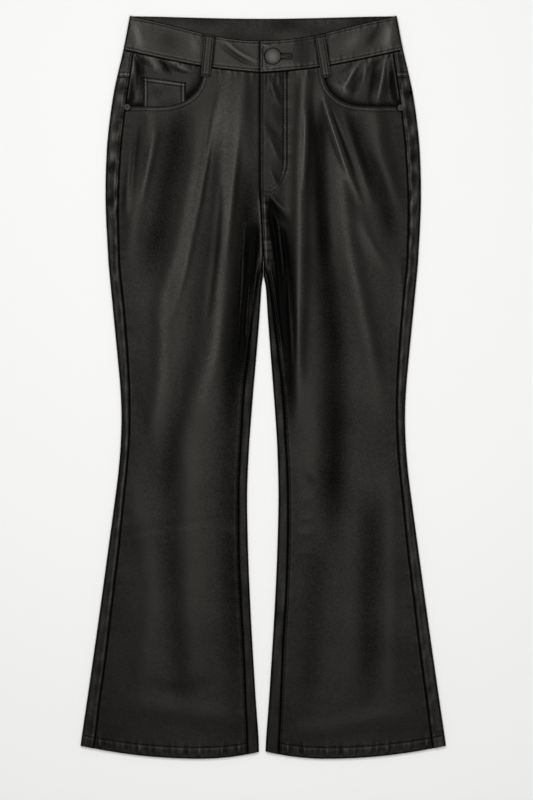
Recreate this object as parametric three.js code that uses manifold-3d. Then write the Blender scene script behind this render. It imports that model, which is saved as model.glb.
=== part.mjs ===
// Flared leather trousers with five-pocket details, laid flat on their back.
// Millimetres. X runs across, to the wearer's left; Y runs from the hems up to the waist; Z is up.
// The origin is the middle of the underside. "up" is a height above the lowest point of the hems,
// and x is a distance outward from the centre line, in the leg that a piece belongs to.
import * as THREE from 'three';
import Module from 'manifold-3d';
import { mergeVertices } from 'three/addons/utils/BufferGeometryUtils.js';

// Driving sizes
const LENGTH = 1038.8;
const CROTCH_UP = 695;
const FORK_UP = 678;
const LEATHER = 1.2;
const BAND = 2.2;
const HEM_WALL = 2.2;
const HEM_DEEP = 15;
const SEAM_GAP = 0.3;
const HALF_GAP = SEAM_GAP / 2;

// Heights of the laid garment above the surface it rests on
const TOP = 6.4;
const TOP_AT_HEM = 6.0;
const TOP_AT_BAND = 7;
const BAND_TOP = 7.2;
const LOOP = { wide: 14.7, thick: 1.7 };
const BAND_UNDER = LOOP.thick + SEAM_GAP;
const LOWEST_TOP = 2 * LEATHER + 0.7;
const FACING_TOP = LEATHER * 2 + 0.5;

// Outline of one leg and hip: the fold at the side, the side seam and the inside leg seam as they
// lie on the top face, and the fold at the inside of each leg
const FORM = [
  { up: 0, outer: 258.2, outseam: 239.5, inseam: 22.0, innerRight: 5.9, innerLeft: 2.6 },
  { up: 30, outer: 254.1, outseam: 235.3, inseam: 23.0, innerRight: 6.6, innerLeft: 4.1 },
  { up: 80, outer: 246.8, outseam: 229.0, inseam: 25.3, innerRight: 10.2, innerLeft: 7.8 },
  { up: 150, outer: 236.7, outseam: 219.6, inseam: 28.0, innerRight: 14.5, innerLeft: 12.3 },
  { up: 220, outer: 226.9, outseam: 211.3, inseam: 32.0, innerRight: 18.3, innerLeft: 16.4 },
  { up: 290, outer: 217.4, outseam: 202.8, inseam: 34.9, innerRight: 21.1, innerLeft: 19.5 },
  { up: 360, outer: 207.9, outseam: 195.8, inseam: 35.3, innerRight: 22.5, innerLeft: 21.2 },
  { up: 400, outer: 202.9, outseam: 191.6, inseam: 34.5, innerRight: 21.6, innerLeft: 20.7 },
  { up: 440, outer: 199.6, outseam: 188.3, inseam: 32.2, innerRight: 19.5, innerLeft: 19.3 },
  { up: 480, outer: 198.5, outseam: 187.0, inseam: 30.2, innerRight: 16.6, innerLeft: 16.8 },
  { up: 520, outer: 200.2, outseam: 187.6, inseam: 27.3, innerRight: 13.4, innerLeft: 13.8 },
  { up: 570, outer: 204.7, outseam: 190.3, inseam: 21.5, innerRight: 9.0, innerLeft: 9.9 },
  { up: 620, outer: 209.6, outseam: 194.3, inseam: 15.4, innerRight: 5.1, innerLeft: 6.2 },
  { up: 660, outer: 213.5, outseam: 198.3, inseam: 10.3, innerRight: 2.3, innerLeft: 3.4 },
  { up: FORK_UP, outer: 215.2, outseam: 200.3, inseam: 6.6, innerRight: 0, innerLeft: 0 },
  { up: CROTCH_UP, outer: 216.7, outseam: 201.7, inseam: 0, innerRight: 0, innerLeft: 0 },
  { up: 780, outer: 220.7, outseam: 203.4, inseam: 0, innerRight: 0, innerLeft: 0 },
  { up: 850, outer: 219.1, outseam: 199.9, inseam: 0, innerRight: 0, innerLeft: 0 },
  { up: 900, outer: 214.1, outseam: 194.8, inseam: 0, innerRight: 0, innerLeft: 0 },
  { up: 940, outer: 207.6, outseam: 189.0, inseam: 0, innerRight: 0, innerLeft: 0 },
  { up: 991.4, outer: 195.8, outseam: 181.2, inseam: 0, innerRight: 0, innerLeft: 0 },
  { up: LENGTH, outer: 186.8, outseam: 172.8, inseam: 0, innerRight: 0, innerLeft: 0 },
];

// Waist curves from the centre (0) to the side fold (1)
const WAIST = [
  { across: 0, frontTop: 1004.2, frontSeam: 959.4, backTop: 1035.2, backSeam: 989.4, yokeSeam: 916 },
  { across: 0.16, frontTop: 1005.6, frontSeam: 962.1, backTop: 1035.4, backSeam: 989.5, yokeSeam: 922 },
  { across: 0.32, frontTop: 1009.6, frontSeam: 965.5, backTop: 1035.9, backSeam: 989.8, yokeSeam: 928 },
  { across: 0.48, frontTop: 1015.9, frontSeam: 970.2, backTop: 1036.6, backSeam: 990.2, yokeSeam: 934 },
  { across: 0.64, frontTop: 1023.5, frontSeam: 976.2, backTop: 1037.4, backSeam: 990.6, yokeSeam: 940 },
  { across: 0.8, frontTop: 1031.0, frontSeam: 982.8, backTop: 1038.2, backSeam: 991.0, yokeSeam: 946 },
  { across: 1, frontTop: LENGTH, frontSeam: 991.4, backTop: LENGTH, backSeam: 991.4, yokeSeam: 952.2 },
];

// Hem curve: lowest about a third of the way across a leg, rising to both corners
const HEM = { lowAt: 88.6, outerCorner: 255.7, outerRise: 18, innerCorner: 6, innerRise: 9.5 };

// Front edge of the left front, which laps over the right one down to the foot of the fly
const FLY_EDGE = [
  { up: CROTCH_UP, x: 0 },
  { up: 740, x: -1.6 },
  { up: 775, x: -3.2 },
  { up: 800, x: -4.4 },
  { up: 1010, x: -4.6 },
];
const FLY = { lift: 755, foot: 785, full: 825, lap: 6, level: 10, fades: 34 };
const BAND_LAP = { reach: 34, level: 38, fades: 74 };

// Scooped pocket mouth, a rounded corner from the band seam to a level run at the side seam
const SCOOP = { startX: 84, levelX: 150, levelUp: 912.8, power: 2.4 };
const FACING = { fromX: 70, fromUp: 898, rise: 14, tuck: 6, bandRise: 16, level: 92, full: 118 };
const FACING_GRID = { rows: 10, columns: 10 };
const COIN = { innerX: 108.1, outerX: 168.5, topInner: 946.3, topOuter: 954, foot: 904 };

const BUTTON = { x: 13.4, up: 982.2, radius: 10, tall: 4.4, shank: 2 };
const BUTTONHOLE = { eye: 2.7, slit: 0.8, end: 37.4 };
const RIVET = { radius: 4.35, tall: 1.7 };
const RIVET_PLACES = [
  { name: 'rivet_right', x: -190.2, up: 911.3 },
  { name: 'rivet_left', x: 192.2, up: 910.6 },
];
const FRONT_LOOPS = [
  { name: 'belt_loop_front_right', topX: -75, topUp: 1013.5, lowX: -80.9, lowUp: 953.3 },
  { name: 'belt_loop_front_left', topX: 78.8, topUp: 1012.8, lowX: 88.6, lowUp: 952.6 },
];
const BACK_LOOPS = [
  { name: 'belt_loop_back_right', topX: -98, topUp: 1036.6, lowX: -101, lowUp: 979 },
  { name: 'belt_loop_back_centre', topX: 0, topUp: 1035, lowX: 0, lowUp: 977.5 },
  { name: 'belt_loop_back_left', topX: 98, topUp: 1036.6, lowX: 101, lowUp: 979 },
];

// Largest folds of the fronts, each a soft ridge (rise above 0) or trough that runs down the leg
// through a top, a middle and a low place
const FOLDS = [
  { leg: 'right', topX: 158, topUp: 912, midX: 176, lowX: 190, lowUp: 730, wide: 9, rise: 2.2 },
  { leg: 'right', topX: 130, topUp: 900, midX: 147, lowX: 172, lowUp: 735, wide: 13, rise: -1.8 },
  { leg: 'right', topX: 93, topUp: 935, midX: 114, lowX: 168, lowUp: 610, wide: 14, rise: 3.6 },
  { leg: 'right', topX: 47, topUp: 930, midX: 58, lowX: 76, lowUp: 545, wide: 16, rise: 3.6 },
  { leg: 'right', topX: 18, topUp: 925, midX: 30, lowX: 54, lowUp: 500, wide: 9, rise: -3.0 },
  { leg: 'right', topX: 6, topUp: 785, midX: 18, lowX: 30, lowUp: 560, wide: 6, rise: -3.2 },
  { leg: 'right', topX: 152, topUp: 530, midX: 157, lowX: 160, lowUp: 380, wide: 13, rise: 1.8 },
  { leg: 'right', topX: 128, topUp: 530, midX: 129, lowX: 130, lowUp: 370, wide: 9, rise: -1.6 },
  { leg: 'right', topX: 100, topUp: 500, midX: 102, lowX: 103, lowUp: 320, wide: 15, rise: 1.8 },
  { leg: 'right', topX: 150, topUp: 330, midX: 165, lowX: 176, lowUp: 150, wide: 20, rise: 2.0 },
  { leg: 'right', topX: 122, topUp: 330, midX: 125, lowX: 128, lowUp: 110, wide: 12, rise: -1.6 },
  { leg: 'right', topX: 92, topUp: 310, midX: 97, lowX: 98, lowUp: 90, wide: 16, rise: 1.9 },
  { leg: 'right', topX: 60, topUp: 300, midX: 62, lowX: 62, lowUp: 130, wide: 12, rise: -1.5 },
  { leg: 'left', topX: 58, topUp: 915, midX: 50, lowX: 46, lowUp: 480, wide: 8, rise: 3.4 },
  { leg: 'left', topX: 7, topUp: 790, midX: 18, lowX: 24, lowUp: 600, wide: 6, rise: -3.0 },
  { leg: 'left', topX: 24, topUp: 760, midX: 33, lowX: 36, lowUp: 480, wide: 7, rise: -2.8 },
  { leg: 'left', topX: 78, topUp: 935, midX: 112, lowX: 164, lowUp: 690, wide: 10, rise: 3.0 },
  { leg: 'left', topX: 66, topUp: 905, midX: 84, lowX: 104, lowUp: 730, wide: 8, rise: -1.8 },
  { leg: 'left', topX: 124, topUp: 912, midX: 164, lowX: 184, lowUp: 730, wide: 10, rise: 2.2 },
  { leg: 'left', topX: 106, topUp: 905, midX: 136, lowX: 160, lowUp: 735, wide: 8, rise: -1.8 },
  { leg: 'left', topX: 84, topUp: 690, midX: 82, lowX: 84, lowUp: 480, wide: 14, rise: -2.2 },
  { leg: 'left', topX: 52, topUp: 530, midX: 72, lowX: 56, lowUp: 375, wide: 14, rise: 2.2 },
  { leg: 'left', topX: 100, topUp: 510, midX: 103, lowX: 104, lowUp: 240, wide: 13, rise: -1.7 },
  { leg: 'left', topX: 122, topUp: 350, midX: 126, lowX: 128, lowUp: 120, wide: 16, rise: 1.9 },
  { leg: 'left', topX: 148, topUp: 380, midX: 151, lowX: 154, lowUp: 120, wide: 12, rise: -1.5 },
  { leg: 'left', topX: 172, topUp: 330, midX: 178, lowX: 182, lowUp: 110, wide: 11, rise: 1.6 },
];

const LEGS = [
  { name: 'right', sign: -1, inner: 'innerRight', laps: false },
  { name: 'left', sign: 1, inner: 'innerLeft', laps: true },
];

// Materials
const leather = new THREE.MeshStandardMaterial({ color: 0x262422, roughness: 0.42, metalness: 0 });
const pocketLeather = new THREE.MeshStandardMaterial({ color: 0x201f1d, roughness: 0.5, metalness: 0 });
const gunmetal = new THREE.MeshStandardMaterial({ color: 0x4a4946, roughness: 0.38, metalness: 0.9 });

function mix(a, b, share) {
  return a + (b - a) * share;
}

function ease(from, to, value) {
  const share = Math.min(Math.max((value - from) / (to - from), 0), 1);
  return share * share * (3 - 2 * share);
}

// A smooth curve through a table's column, read at one value of its key column
function follow(table, key, column, at) {
  let low = 0;
  while (low < table.length - 2 && at > table[low + 1][key]) {
    low += 1;
  }
  const slope = (row) => {
    const before = table[Math.max(row - 1, 0)];
    const after = table[Math.min(row + 1, table.length - 1)];
    return (after[column] - before[column]) / (after[key] - before[key]);
  };
  const start = table[low];
  const end = table[low + 1];
  const span = end[key] - start[key];
  const share = (at - start[key]) / span;
  if (share < 0 || share > 1) {
    const edge = share < 0 ? start : end;
    return edge[column] + slope(share < 0 ? low : low + 1) * (at - edge[key]);
  }
  const two = share * share;
  const three = two * share;
  return (2 * three - 3 * two + 1) * start[column] + (three - 2 * two + share) * span * slope(low)
    + (3 * two - 2 * three) * end[column] + (three - two) * span * slope(low + 1);
}

const form = (column, up) => follow(FORM, 'up', column, up);
const innerFold = (leg, up) => Math.max(up < FORK_UP ? form(leg.inner, up) : 0, HALF_GAP);

// Height of a waist curve at a distance from the centre line
function curveUp(curve, x) {
  const half = form('outer', WAIST[WAIST.length - 1][curve]);
  return follow(WAIST, 'across', curve, Math.min(Math.abs(x) / half, 1));
}

function hemUp(x) {
  const outward = x > HEM.lowAt;
  const corner = outward ? HEM.outerCorner : HEM.innerCorner;
  const share = (x - HEM.lowAt) / (corner - HEM.lowAt);
  return (outward ? HEM.outerRise : HEM.innerRise) * share * share;
}

function foldRise(fold, x, up) {
  const share = (up - fold.lowUp) / (fold.topUp - fold.lowUp);
  if (share <= 0 || share >= 1) {
    return 0;
  }
  const bend = 4 * fold.midX - 3 * fold.lowX - fold.topX;
  const curve = 2 * (fold.topX + fold.lowX - 2 * fold.midX);
  const off = (x - (fold.lowX + bend * share + curve * share * share)) / fold.wide;
  return fold.rise * Math.exp(-off * off) * Math.sin(Math.PI * share) ** 0.8;
}

function openHeight(leg, x, up) {
  let height = mix(TOP_AT_HEM, TOP, ease(20, 70, up)) + (TOP_AT_BAND - TOP) * ease(920, 955, up);
  for (const fold of FOLDS) {
    if (fold.leg === leg.name) {
      height += foldRise(fold, x, up);
    }
  }
  return Math.max(height, LOWEST_TOP);
}

const innerRound = (leg, up) => openHeight(leg, innerFold(leg, up) + 3, up) / 2;

// Height of the top face of a front, or of the strip of back beside it. Towards the crotch it
// rounds down into the fork between the legs, and above the crotch it comes up again.
function topHeight(leg, x, up) {
  const height = openHeight(leg, x, up);
  const round = innerRound(leg, up);
  const off = Math.min((innerFold(leg, up) + round - x) / round, 0.995);
  if (off <= 0) {
    return height;
  }
  const drop = round * (1 - Math.sqrt(1 - off * off)) * (1 - ease(CROTCH_UP, CROTCH_UP + 40, up));
  return height - drop;
}

// A closed wall from its outer face: place(row, column) gives a point, the way out and the thickness
function wall(rows, columns, place) {
  const outer = [];
  const inner = [];
  for (let row = 0; row <= rows; row += 1) {
    for (let column = 0; column <= columns; column += 1) {
      const { point, out, thick } = place(row, column);
      outer.push(point);
      inner.push(point.clone().addScaledVector(out, -thick));
    }
  }
  const across = columns + 1;
  const count = outer.length;
  const quads = [];
  for (let row = 0; row < rows; row += 1) {
    for (let column = 0; column < columns; column += 1) {
      const at = row * across + column;
      quads.push([at, at + 1, at + across + 1, at + across]);
      quads.push([count + at, count + at + across, count + at + across + 1, count + at + 1]);
    }
  }
  const last = rows * across;
  for (let column = 0; column < columns; column += 1) {
    quads.push([column + 1, column, count + column, count + column + 1]);
    quads.push([last + column, last + column + 1, count + last + column + 1, count + last + column]);
  }
  for (let row = 0; row < rows; row += 1) {
    const near = row * across;
    const far = near + columns;
    quads.push([near, near + across, count + near + across, count + near]);
    quads.push([far + across, far, count + far, count + far + across]);
  }
  const points = [...outer, ...inner];
  const middle = Math.floor(rows / 2) * across + Math.floor(columns / 2);
  const side = points[middle + 1].clone().sub(points[middle]);
  const away = points[middle].clone().sub(points[middle + count]);
  const turned = side.cross(points[middle + across].clone().sub(points[middle])).dot(away) < 0;
  const index = [];
  for (const [a, b, c, d] of quads) {
    index.push(...(turned ? [a, c, b, a, d, c] : [a, b, c, a, c, d]));
  }
  const geometry = new THREE.BufferGeometry();
  const values = points.flatMap((at) => [at.x, at.y, at.z]);
  geometry.setAttribute('position', new THREE.Float32BufferAttribute(values, 3));
  geometry.setIndex(index);
  return geometry;
}

const group = new THREE.Group();

function add(name, geometry, material) {
  const mesh = new THREE.Mesh(geometry, material);
  mesh.name = name;
  group.add(mesh);
  return mesh;
}

const spot = (leg, x, up, z) => new THREE.Vector3(leg.sign * x, up - LENGTH / 2, z);

// Point and way out on a height field, such as the top face
function onTop(leg, height, x, up, thick) {
  const step = 0.05;
  const slopeX = (height(leg, x + step, up) - height(leg, x - step, up)) / (2 * step);
  const slopeUp = (height(leg, x, up + step) - height(leg, x, up - step)) / (2 * step);
  const out = new THREE.Vector3(-slopeX * leg.sign, -slopeUp, 1).normalize();
  return { point: spot(leg, x, up, height(leg, x, up)), out, thick };
}

const hemWall = (x, up) => mix(HEM_WALL, LEATHER, ease(HEM_DEEP - 2, HEM_DEEP, up - hemUp(x)));
const flyEdge = (up) => follow(FLY_EDGE, 'up', 'x', up);

// Rows of a leg, in steps from the hem curve up to the hip
const LEG_ROWS = [
  { to: 60, steps: 2 },
  { to: 600, steps: 15 },
  { to: 660, steps: 2 },
  { to: FORK_UP, steps: 2 },
  { to: CROTCH_UP, steps: 4 },
  { to: 713, steps: 3 },
  { to: 760, steps: 2 },
];
const HIP_ROWS = { front: 8, back: 5 };

// Heights of one column's points from its hem to its top
function rowHeights(low, top, hipRows) {
  const heights = [low];
  let from = low;
  for (const { to, steps } of [...LEG_ROWS, { to: top, steps: hipRows }]) {
    for (let step = 1; step <= steps; step += 1) {
      heights.push(mix(from, to, step / steps));
    }
    from = to;
  }
  return heights;
}

// Fronts: a grid from the hem to the band seam and round the pocket mouth
const FRONT_COLUMNS = { middle: 7, scoop: 7, side: 3 };

function frontTopEdge(leg, column, mouthX) {
  const { middle, scoop, side } = FRONT_COLUMNS;
  if (column <= middle) {
    const x = mix(frontInnerEdge(leg, 960), SCOOP.startX, column / middle);
    return { x, up: curveUp('frontSeam', x) - HALF_GAP };
  }
  if (column <= middle + scoop) {
    const angle = (column - middle) / scoop * Math.PI / 2;
    const startUp = curveUp('frontSeam', SCOOP.startX);
    return {
      x: SCOOP.levelX - (SCOOP.levelX - SCOOP.startX) * Math.cos(angle) ** (2 / SCOOP.power),
      up: startUp - (startUp - SCOOP.levelUp) * Math.sin(angle) ** (2 / SCOOP.power) - HALF_GAP,
    };
  }
  const share = (column - middle - scoop) / side;
  return { x: mix(SCOOP.levelX, mouthX, share), up: SCOOP.levelUp - HALF_GAP };
}

function frontHeight(leg, x, up) {
  const lift = leg.laps ? (LEATHER + SEAM_GAP) * ease(FLY.lift, FLY.foot, up) : 0;
  return topHeight(leg, x, up) + lift * (1 - ease(FLY.level, FLY.fades, x));
}

function frontInnerEdge(leg, up) {
  if (up < CROTCH_UP) {
    return form('inseam', up) + HALF_GAP;
  }
  const lap = FLY.lap * ease(FLY.foot, FLY.full, up);
  return leg.laps ? flyEdge(up) + HALF_GAP : HALF_GAP - flyEdge(up) - lap;
}

function frontLeg(leg) {
  const columns = FRONT_COLUMNS.middle + FRONT_COLUMNS.scoop + FRONT_COLUMNS.side;
  const mouthX = form('outseam', SCOOP.levelUp) - HALF_GAP;
  const shareAt = (x, up) => {
    const edge = frontInnerEdge(leg, up);
    return (x - edge) / (form('outseam', up) - HALF_GAP - edge);
  };
  const grid = [];
  for (let column = 0; column <= columns; column += 1) {
    const top = frontTopEdge(leg, column, mouthX);
    const hemX = mix(form('inseam', 0), form('outseam', 0), column / columns);
    const heights = rowHeights(hemUp(hemX), top.up, HIP_ROWS.front);
    grid.push({ heights, even: column / columns, top: shareAt(top.x, top.up) });
  }
  return wall(grid[0].heights.length - 1, columns, (row, column) => {
    const { heights, even, top } = grid[column];
    const up = heights[row];
    const share = mix(even, top, ease(640, 860, up));
    const x = mix(frontInnerEdge(leg, up), form('outseam', up) - HALF_GAP, share);
    return onTop(leg, frontHeight, x, up, hemWall(x, up));
  });
}

// Underside of a yoke: flat on the surface, and lifted to the band by the belt loops under it
const undersideHeight = (up) => BAND_UNDER * ease(944, 966, up);

// Backs and their yokes go round from the top face, under the leg and up again to the side seam.
// Each column of such a piece has a zone, and a share of the way through it.
const INSIDE = { strip: 2, fold: 4, floor: 1, reach: 24 };
const BACK_COLUMNS = [
  { zone: 'inside', steps: INSIDE.strip + INSIDE.fold + INSIDE.floor },
  { zone: 'floor', steps: 3 },
  { zone: 'fold', steps: 4 },
  { zone: 'top', steps: 2 },
];
const YOKE_COLUMNS = [{ zone: 'floor', steps: 6 }, { zone: 'fold', steps: 4 }, { zone: 'top', steps: 2 }];
const BAND_COLUMNS = [{ zone: 'floor', steps: 8 }, { zone: 'fold', steps: 4 }, { zone: 'top', steps: 14 }];

function columnZones(spec) {
  const zones = [{ zone: spec[0].zone, share: 0 }];
  for (const { zone, steps } of spec) {
    for (let step = 1; step <= steps; step += 1) {
      zones.push({ zone, share: step / steps });
    }
  }
  return zones;
}

// The inner part of a back, a path from the inside leg seam over the fold to the floor. Above the
// crotch its start slides down the fold to the seam at the middle of the back.
function insidePath(leg, up) {
  const inner = innerFold(leg, up);
  const round = innerRound(leg, up);
  const center = inner + round;
  const seamX = up < CROTCH_UP ? Math.max(form('inseam', up) - HALF_GAP, inner) : inner;
  const path = [];
  const count = 12;
  if (seamX > center) {
    for (let step = 0; step < count; step += 1) {
      const x = mix(seamX, center, step / count);
      path.push({ x, z: topHeight(leg, x, up), outX: 0, outZ: 1 });
    }
  }
  const strip = path.length;
  const slip = 0.2 * ease(CROTCH_UP - 6, CROTCH_UP, up);
  const start = seamX > center ? Math.PI / 2 : Math.acos((seamX - center) / round) + slip;
  const tall = round * (1 - ease(CROTCH_UP, CROTCH_UP + 17, up));
  for (let step = 0; step <= count; step += 1) {
    const angle = mix(start, 1.5 * Math.PI, step / count);
    const rise = angle > Math.PI ? tall : round;
    const out = new THREE.Vector2(rise * Math.cos(angle), round * Math.sin(angle)).normalize();
    const x = center + round * Math.cos(angle);
    path.push({ x, z: rise + rise * Math.sin(angle), outX: out.x, outZ: out.y });
  }
  const fold = path.length - 1;
  path.push({ x: inner + INSIDE.reach, z: 0, outX: 0, outZ: -1 });
  path.forEach((at, index) => {
    const last = path[index - 1];
    at.length = last ? last.length + Math.hypot(at.x - last.x, at.z - last.z) : 0;
  });
  return { path, marks: [0, path[strip].length, path[fold].length, path[path.length - 1].length] };
}

function insidePoint(leg, share, up) {
  const { path, marks } = insidePath(leg, up);
  const columns = INSIDE.strip + INSIDE.fold + INSIDE.floor;
  const column = share * columns;
  const counts = [INSIDE.strip, INSIDE.fold, INSIDE.floor];
  let marked = 0;
  let passed = 0;
  counts.forEach((steps, zone) => {
    marked += (marks[zone + 1] - marks[zone]) * Math.min(Math.max((column - passed) / steps, 0), 1);
    passed += steps;
  });
  const length = mix(marked, marks[3] * share, ease(640, FORK_UP, up));
  let index = 1;
  while (index < path.length - 1 && path[index].length < length) {
    index += 1;
  }
  const before = path[index - 1];
  const after = path[index];
  const part = (length - before.length) / (after.length - before.length);
  return {
    x: mix(before.x, after.x, part),
    z: mix(before.z, after.z, part),
    outX: mix(before.outX, after.outX, part),
    outZ: mix(before.outZ, after.outZ, part),
  };
}

// One point of a piece that goes round the side: spec gives its height on top, its underside, its
// start on the floor, its end on top and its thickness
function roundPoint(leg, { zone, share }, up, spec) {
  const under = spec.under(up);
  const outer = form('outer', up);
  const round = (spec.height(leg, outer - 3, up) - under) / 2;
  const thick = spec.thick;
  if (zone === 'top') {
    const x = mix(outer - round, spec.endX(up), share);
    return onTop(leg, spec.height, x, up, thick(x, up));
  }
  let at = null;
  if (zone === 'inside') {
    at = insidePoint(leg, share, up);
  } else if (zone === 'floor') {
    at = { x: mix(spec.startX(up), outer - round, share), z: under, outX: 0, outZ: -1 };
  } else {
    const angle = mix(-Math.PI / 2, Math.PI / 2, share);
    at = {
      x: outer - round + round * Math.cos(angle),
      z: under + round + round * Math.sin(angle),
      outX: Math.cos(angle),
      outZ: Math.sin(angle),
    };
  }
  const out = new THREE.Vector3(at.outX * leg.sign, 0, at.outZ).normalize();
  return { point: spot(leg, at.x, up, at.z), out, thick: thick(at.x, up) };
}

// Where a column of such a piece meets a waist curve. The yoke seam is level once it is round the side.
function curveHeight(leg, zone, spec, curve) {
  const side = WAIST[WAIST.length - 1][curve];
  if (zone.zone === 'fold' || (zone.zone === 'top' && curve === 'yokeSeam')) {
    return side;
  }
  let up = side;
  for (let pass = 0; pass < 6; pass += 1) {
    up = curveUp(curve, roundPoint(leg, zone, up, spec).point.x);
  }
  return up;
}

function backLeg(leg) {
  const zones = columnZones(BACK_COLUMNS);
  const spec = {
    height: topHeight,
    under: () => 0,
    startX: (up) => innerFold(leg, up) + INSIDE.reach,
    endX: (up) => form('outseam', up) + HALF_GAP,
    thick: hemWall,
  };
  const grid = zones.map((zone) => {
    const hemX = Math.abs(roundPoint(leg, zone, HEM_DEEP, spec).point.x);
    const top = curveHeight(leg, zone, spec, 'yokeSeam') - HALF_GAP;
    return rowHeights(hemUp(hemX), top, HIP_ROWS.back);
  });
  return wall(grid[0].length - 1, zones.length - 1, (row, column) => (
    roundPoint(leg, zones[column], grid[column][row], spec)
  ));
}

// A yoke or band half: a strip round the side between two waist curves
function sideStrip(leg, columns, rows, low, top, spec) {
  const zones = columnZones(columns);
  const edges = zones.map((zone) => {
    const face = zone.zone === 'top' ? 'front' : 'back';
    return {
      low: curveHeight(leg, zone, spec, low[face]) + HALF_GAP,
      top: curveHeight(leg, zone, spec, top[face]) - top.gap,
    };
  });
  return wall(rows, zones.length - 1, (row, column) => (
    roundPoint(leg, zones[column], mix(edges[column].low, edges[column].top, row / rows), spec)
  ));
}

function yoke(leg) {
  const low = { front: 'yokeSeam', back: 'yokeSeam' };
  return sideStrip(leg, YOKE_COLUMNS, 6, low, { front: 'frontSeam', back: 'backSeam', gap: HALF_GAP }, {
    height: topHeight,
    under: undersideHeight,
    startX: () => HALF_GAP,
    endX: (up) => form('outseam', up) + HALF_GAP,
    thick: () => LEATHER,
  });
}

function bandHeight(leg, x) {
  const lift = leg.laps ? (BAND + SEAM_GAP) * (1 - ease(BAND_LAP.level, BAND_LAP.fades, x)) : 0;
  return BAND_TOP + lift;
}

function waistband(leg) {
  const low = { front: 'frontSeam', back: 'backSeam' };
  return sideStrip(leg, BAND_COLUMNS, 3, low, { front: 'frontTop', back: 'backTop', gap: 0 }, {
    height: bandHeight,
    under: () => BAND_UNDER,
    startX: () => HALF_GAP,
    endX: (up) => (leg.laps ? flyEdge(up) + HALF_GAP : -BAND_LAP.reach),
    thick: () => BAND,
  });
}

// Pocket facings: side pieces that lie low under the pocket mouth and rise to the side seam and band
function facingHeight(leg, x, up) {
  const sideX = form('outseam', up);
  const seamUp = curveUp('frontSeam', x);
  const side = ease(sideX - FACING.rise, sideX - 1, x) * ease(SCOOP.levelUp, SCOOP.levelUp + 12, up);
  const band = ease(seamUp - FACING.bandRise, seamUp - 1, up) * ease(FACING.level, FACING.full, x);
  return mix(FACING_TOP + undersideHeight(up), topHeight(leg, x, up), Math.max(side, band));
}

function pocketFacing(leg) {
  const { rows, columns } = FACING_GRID;
  return wall(rows, columns, (row, column) => {
    const share = column / columns;
    let topUp = WAIST[WAIST.length - 1].frontSeam;
    for (let pass = 0; pass < 6; pass += 1) {
      topUp = curveUp('frontSeam', mix(FACING.fromX, form('outseam', topUp) - HALF_GAP, share));
    }
    const up = mix(FACING.fromUp, topUp - HALF_GAP, row / rows);
    const tuck = FACING.tuck * (1 - ease(SCOOP.levelUp - 5, SCOOP.levelUp + 3, up));
    const x = mix(FACING.fromX, form('outseam', up) - HALF_GAP - tuck, share);
    return onTop(leg, facingHeight, x, up, LEATHER);
  });
}

function coinPocket(leg) {
  const height = (side, x, up) => facingHeight(side, x, up) + SEAM_GAP + LEATHER;
  return wall(5, 6, (row, column) => {
    const x = mix(COIN.innerX, COIN.outerX, column / 6);
    const up = mix(COIN.foot, mix(COIN.topInner, COIN.topOuter, column / 6), row / 5);
    return onTop(leg, height, x, up, LEATHER);
  });
}

// Belt loops: flat straps, over the band in front and pressed flat under it at the back
function beltLoop(place, face, out) {
  const along = new THREE.Vector2(place.topX - place.lowX, place.topUp - place.lowUp);
  const side = new THREE.Vector2(along.y, -along.x).normalize().multiplyScalar(LOOP.wide / 2);
  return wall(4, 2, (row, column) => {
    const x = mix(place.lowX, place.topX, row / 4) + side.x * (column - 1);
    const up = mix(place.lowUp, place.topUp, row / 4) + side.y * (column - 1);
    return { point: new THREE.Vector3(x, up - LENGTH / 2, face), out, thick: LOOP.thick };
  });
}

// A turned piece on its own upright axis, from a profile of radius and height that starts and ends on it
function turned(profile, segments, x, up) {
  const lathe = new THREE.LatheGeometry(profile.map(([radius, z]) => new THREE.Vector2(radius, z)), segments);
  lathe.rotateX(Math.PI / 2);
  lathe.translate(x, up - LENGTH / 2, 0);
  return joined(lathe);
}

// The same surface with shared corners and no collapsed faces
function joined(geometry) {
  geometry.deleteAttribute('normal');
  geometry.deleteAttribute('uv');
  const merged = mergeVertices(geometry, 1e-4);
  const from = merged.getIndex().array;
  const index = [];
  for (let face = 0; face < from.length; face += 3) {
    const [a, b, c] = [from[face], from[face + 1], from[face + 2]];
    if (a !== b && b !== c && c !== a) {
      index.push(a, b, c);
    }
  }
  merged.setIndex(index);
  return merged;
}

function domeProfile(base, radius, tall, shank, foot) {
  const profile = [[0, foot], [shank, foot], [shank, base]];
  profile.push([radius * 0.94, base], [radius, base + tall * 0.16]);
  const steps = 5;
  for (let step = 0; step < steps; step += 1) {
    const angle = step / steps * Math.PI / 2;
    profile.push([radius * 0.97 * Math.cos(angle), base + tall * (0.42 + 0.58 * Math.sin(angle))]);
  }
  profile.push([0, base + tall]);
  return profile;
}

const wasm = await Module();
wasm.setup();

function solid(geometry) {
  return new wasm.Manifold(new wasm.Mesh({
    numProp: 3,
    vertProperties: new Float32Array(geometry.getAttribute('position').array),
    triVerts: new Uint32Array(geometry.getIndex().array),
  }));
}

function subtract(geometry, cutter) {
  const { vertProperties, triVerts } = solid(geometry).subtract(solid(cutter)).getMesh();
  const result = new THREE.BufferGeometry();
  result.setAttribute('position', new THREE.BufferAttribute(new Float32Array(vertProperties), 3));
  result.setIndex(new THREE.BufferAttribute(new Uint32Array(triVerts), 1));
  return result;
}

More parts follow.
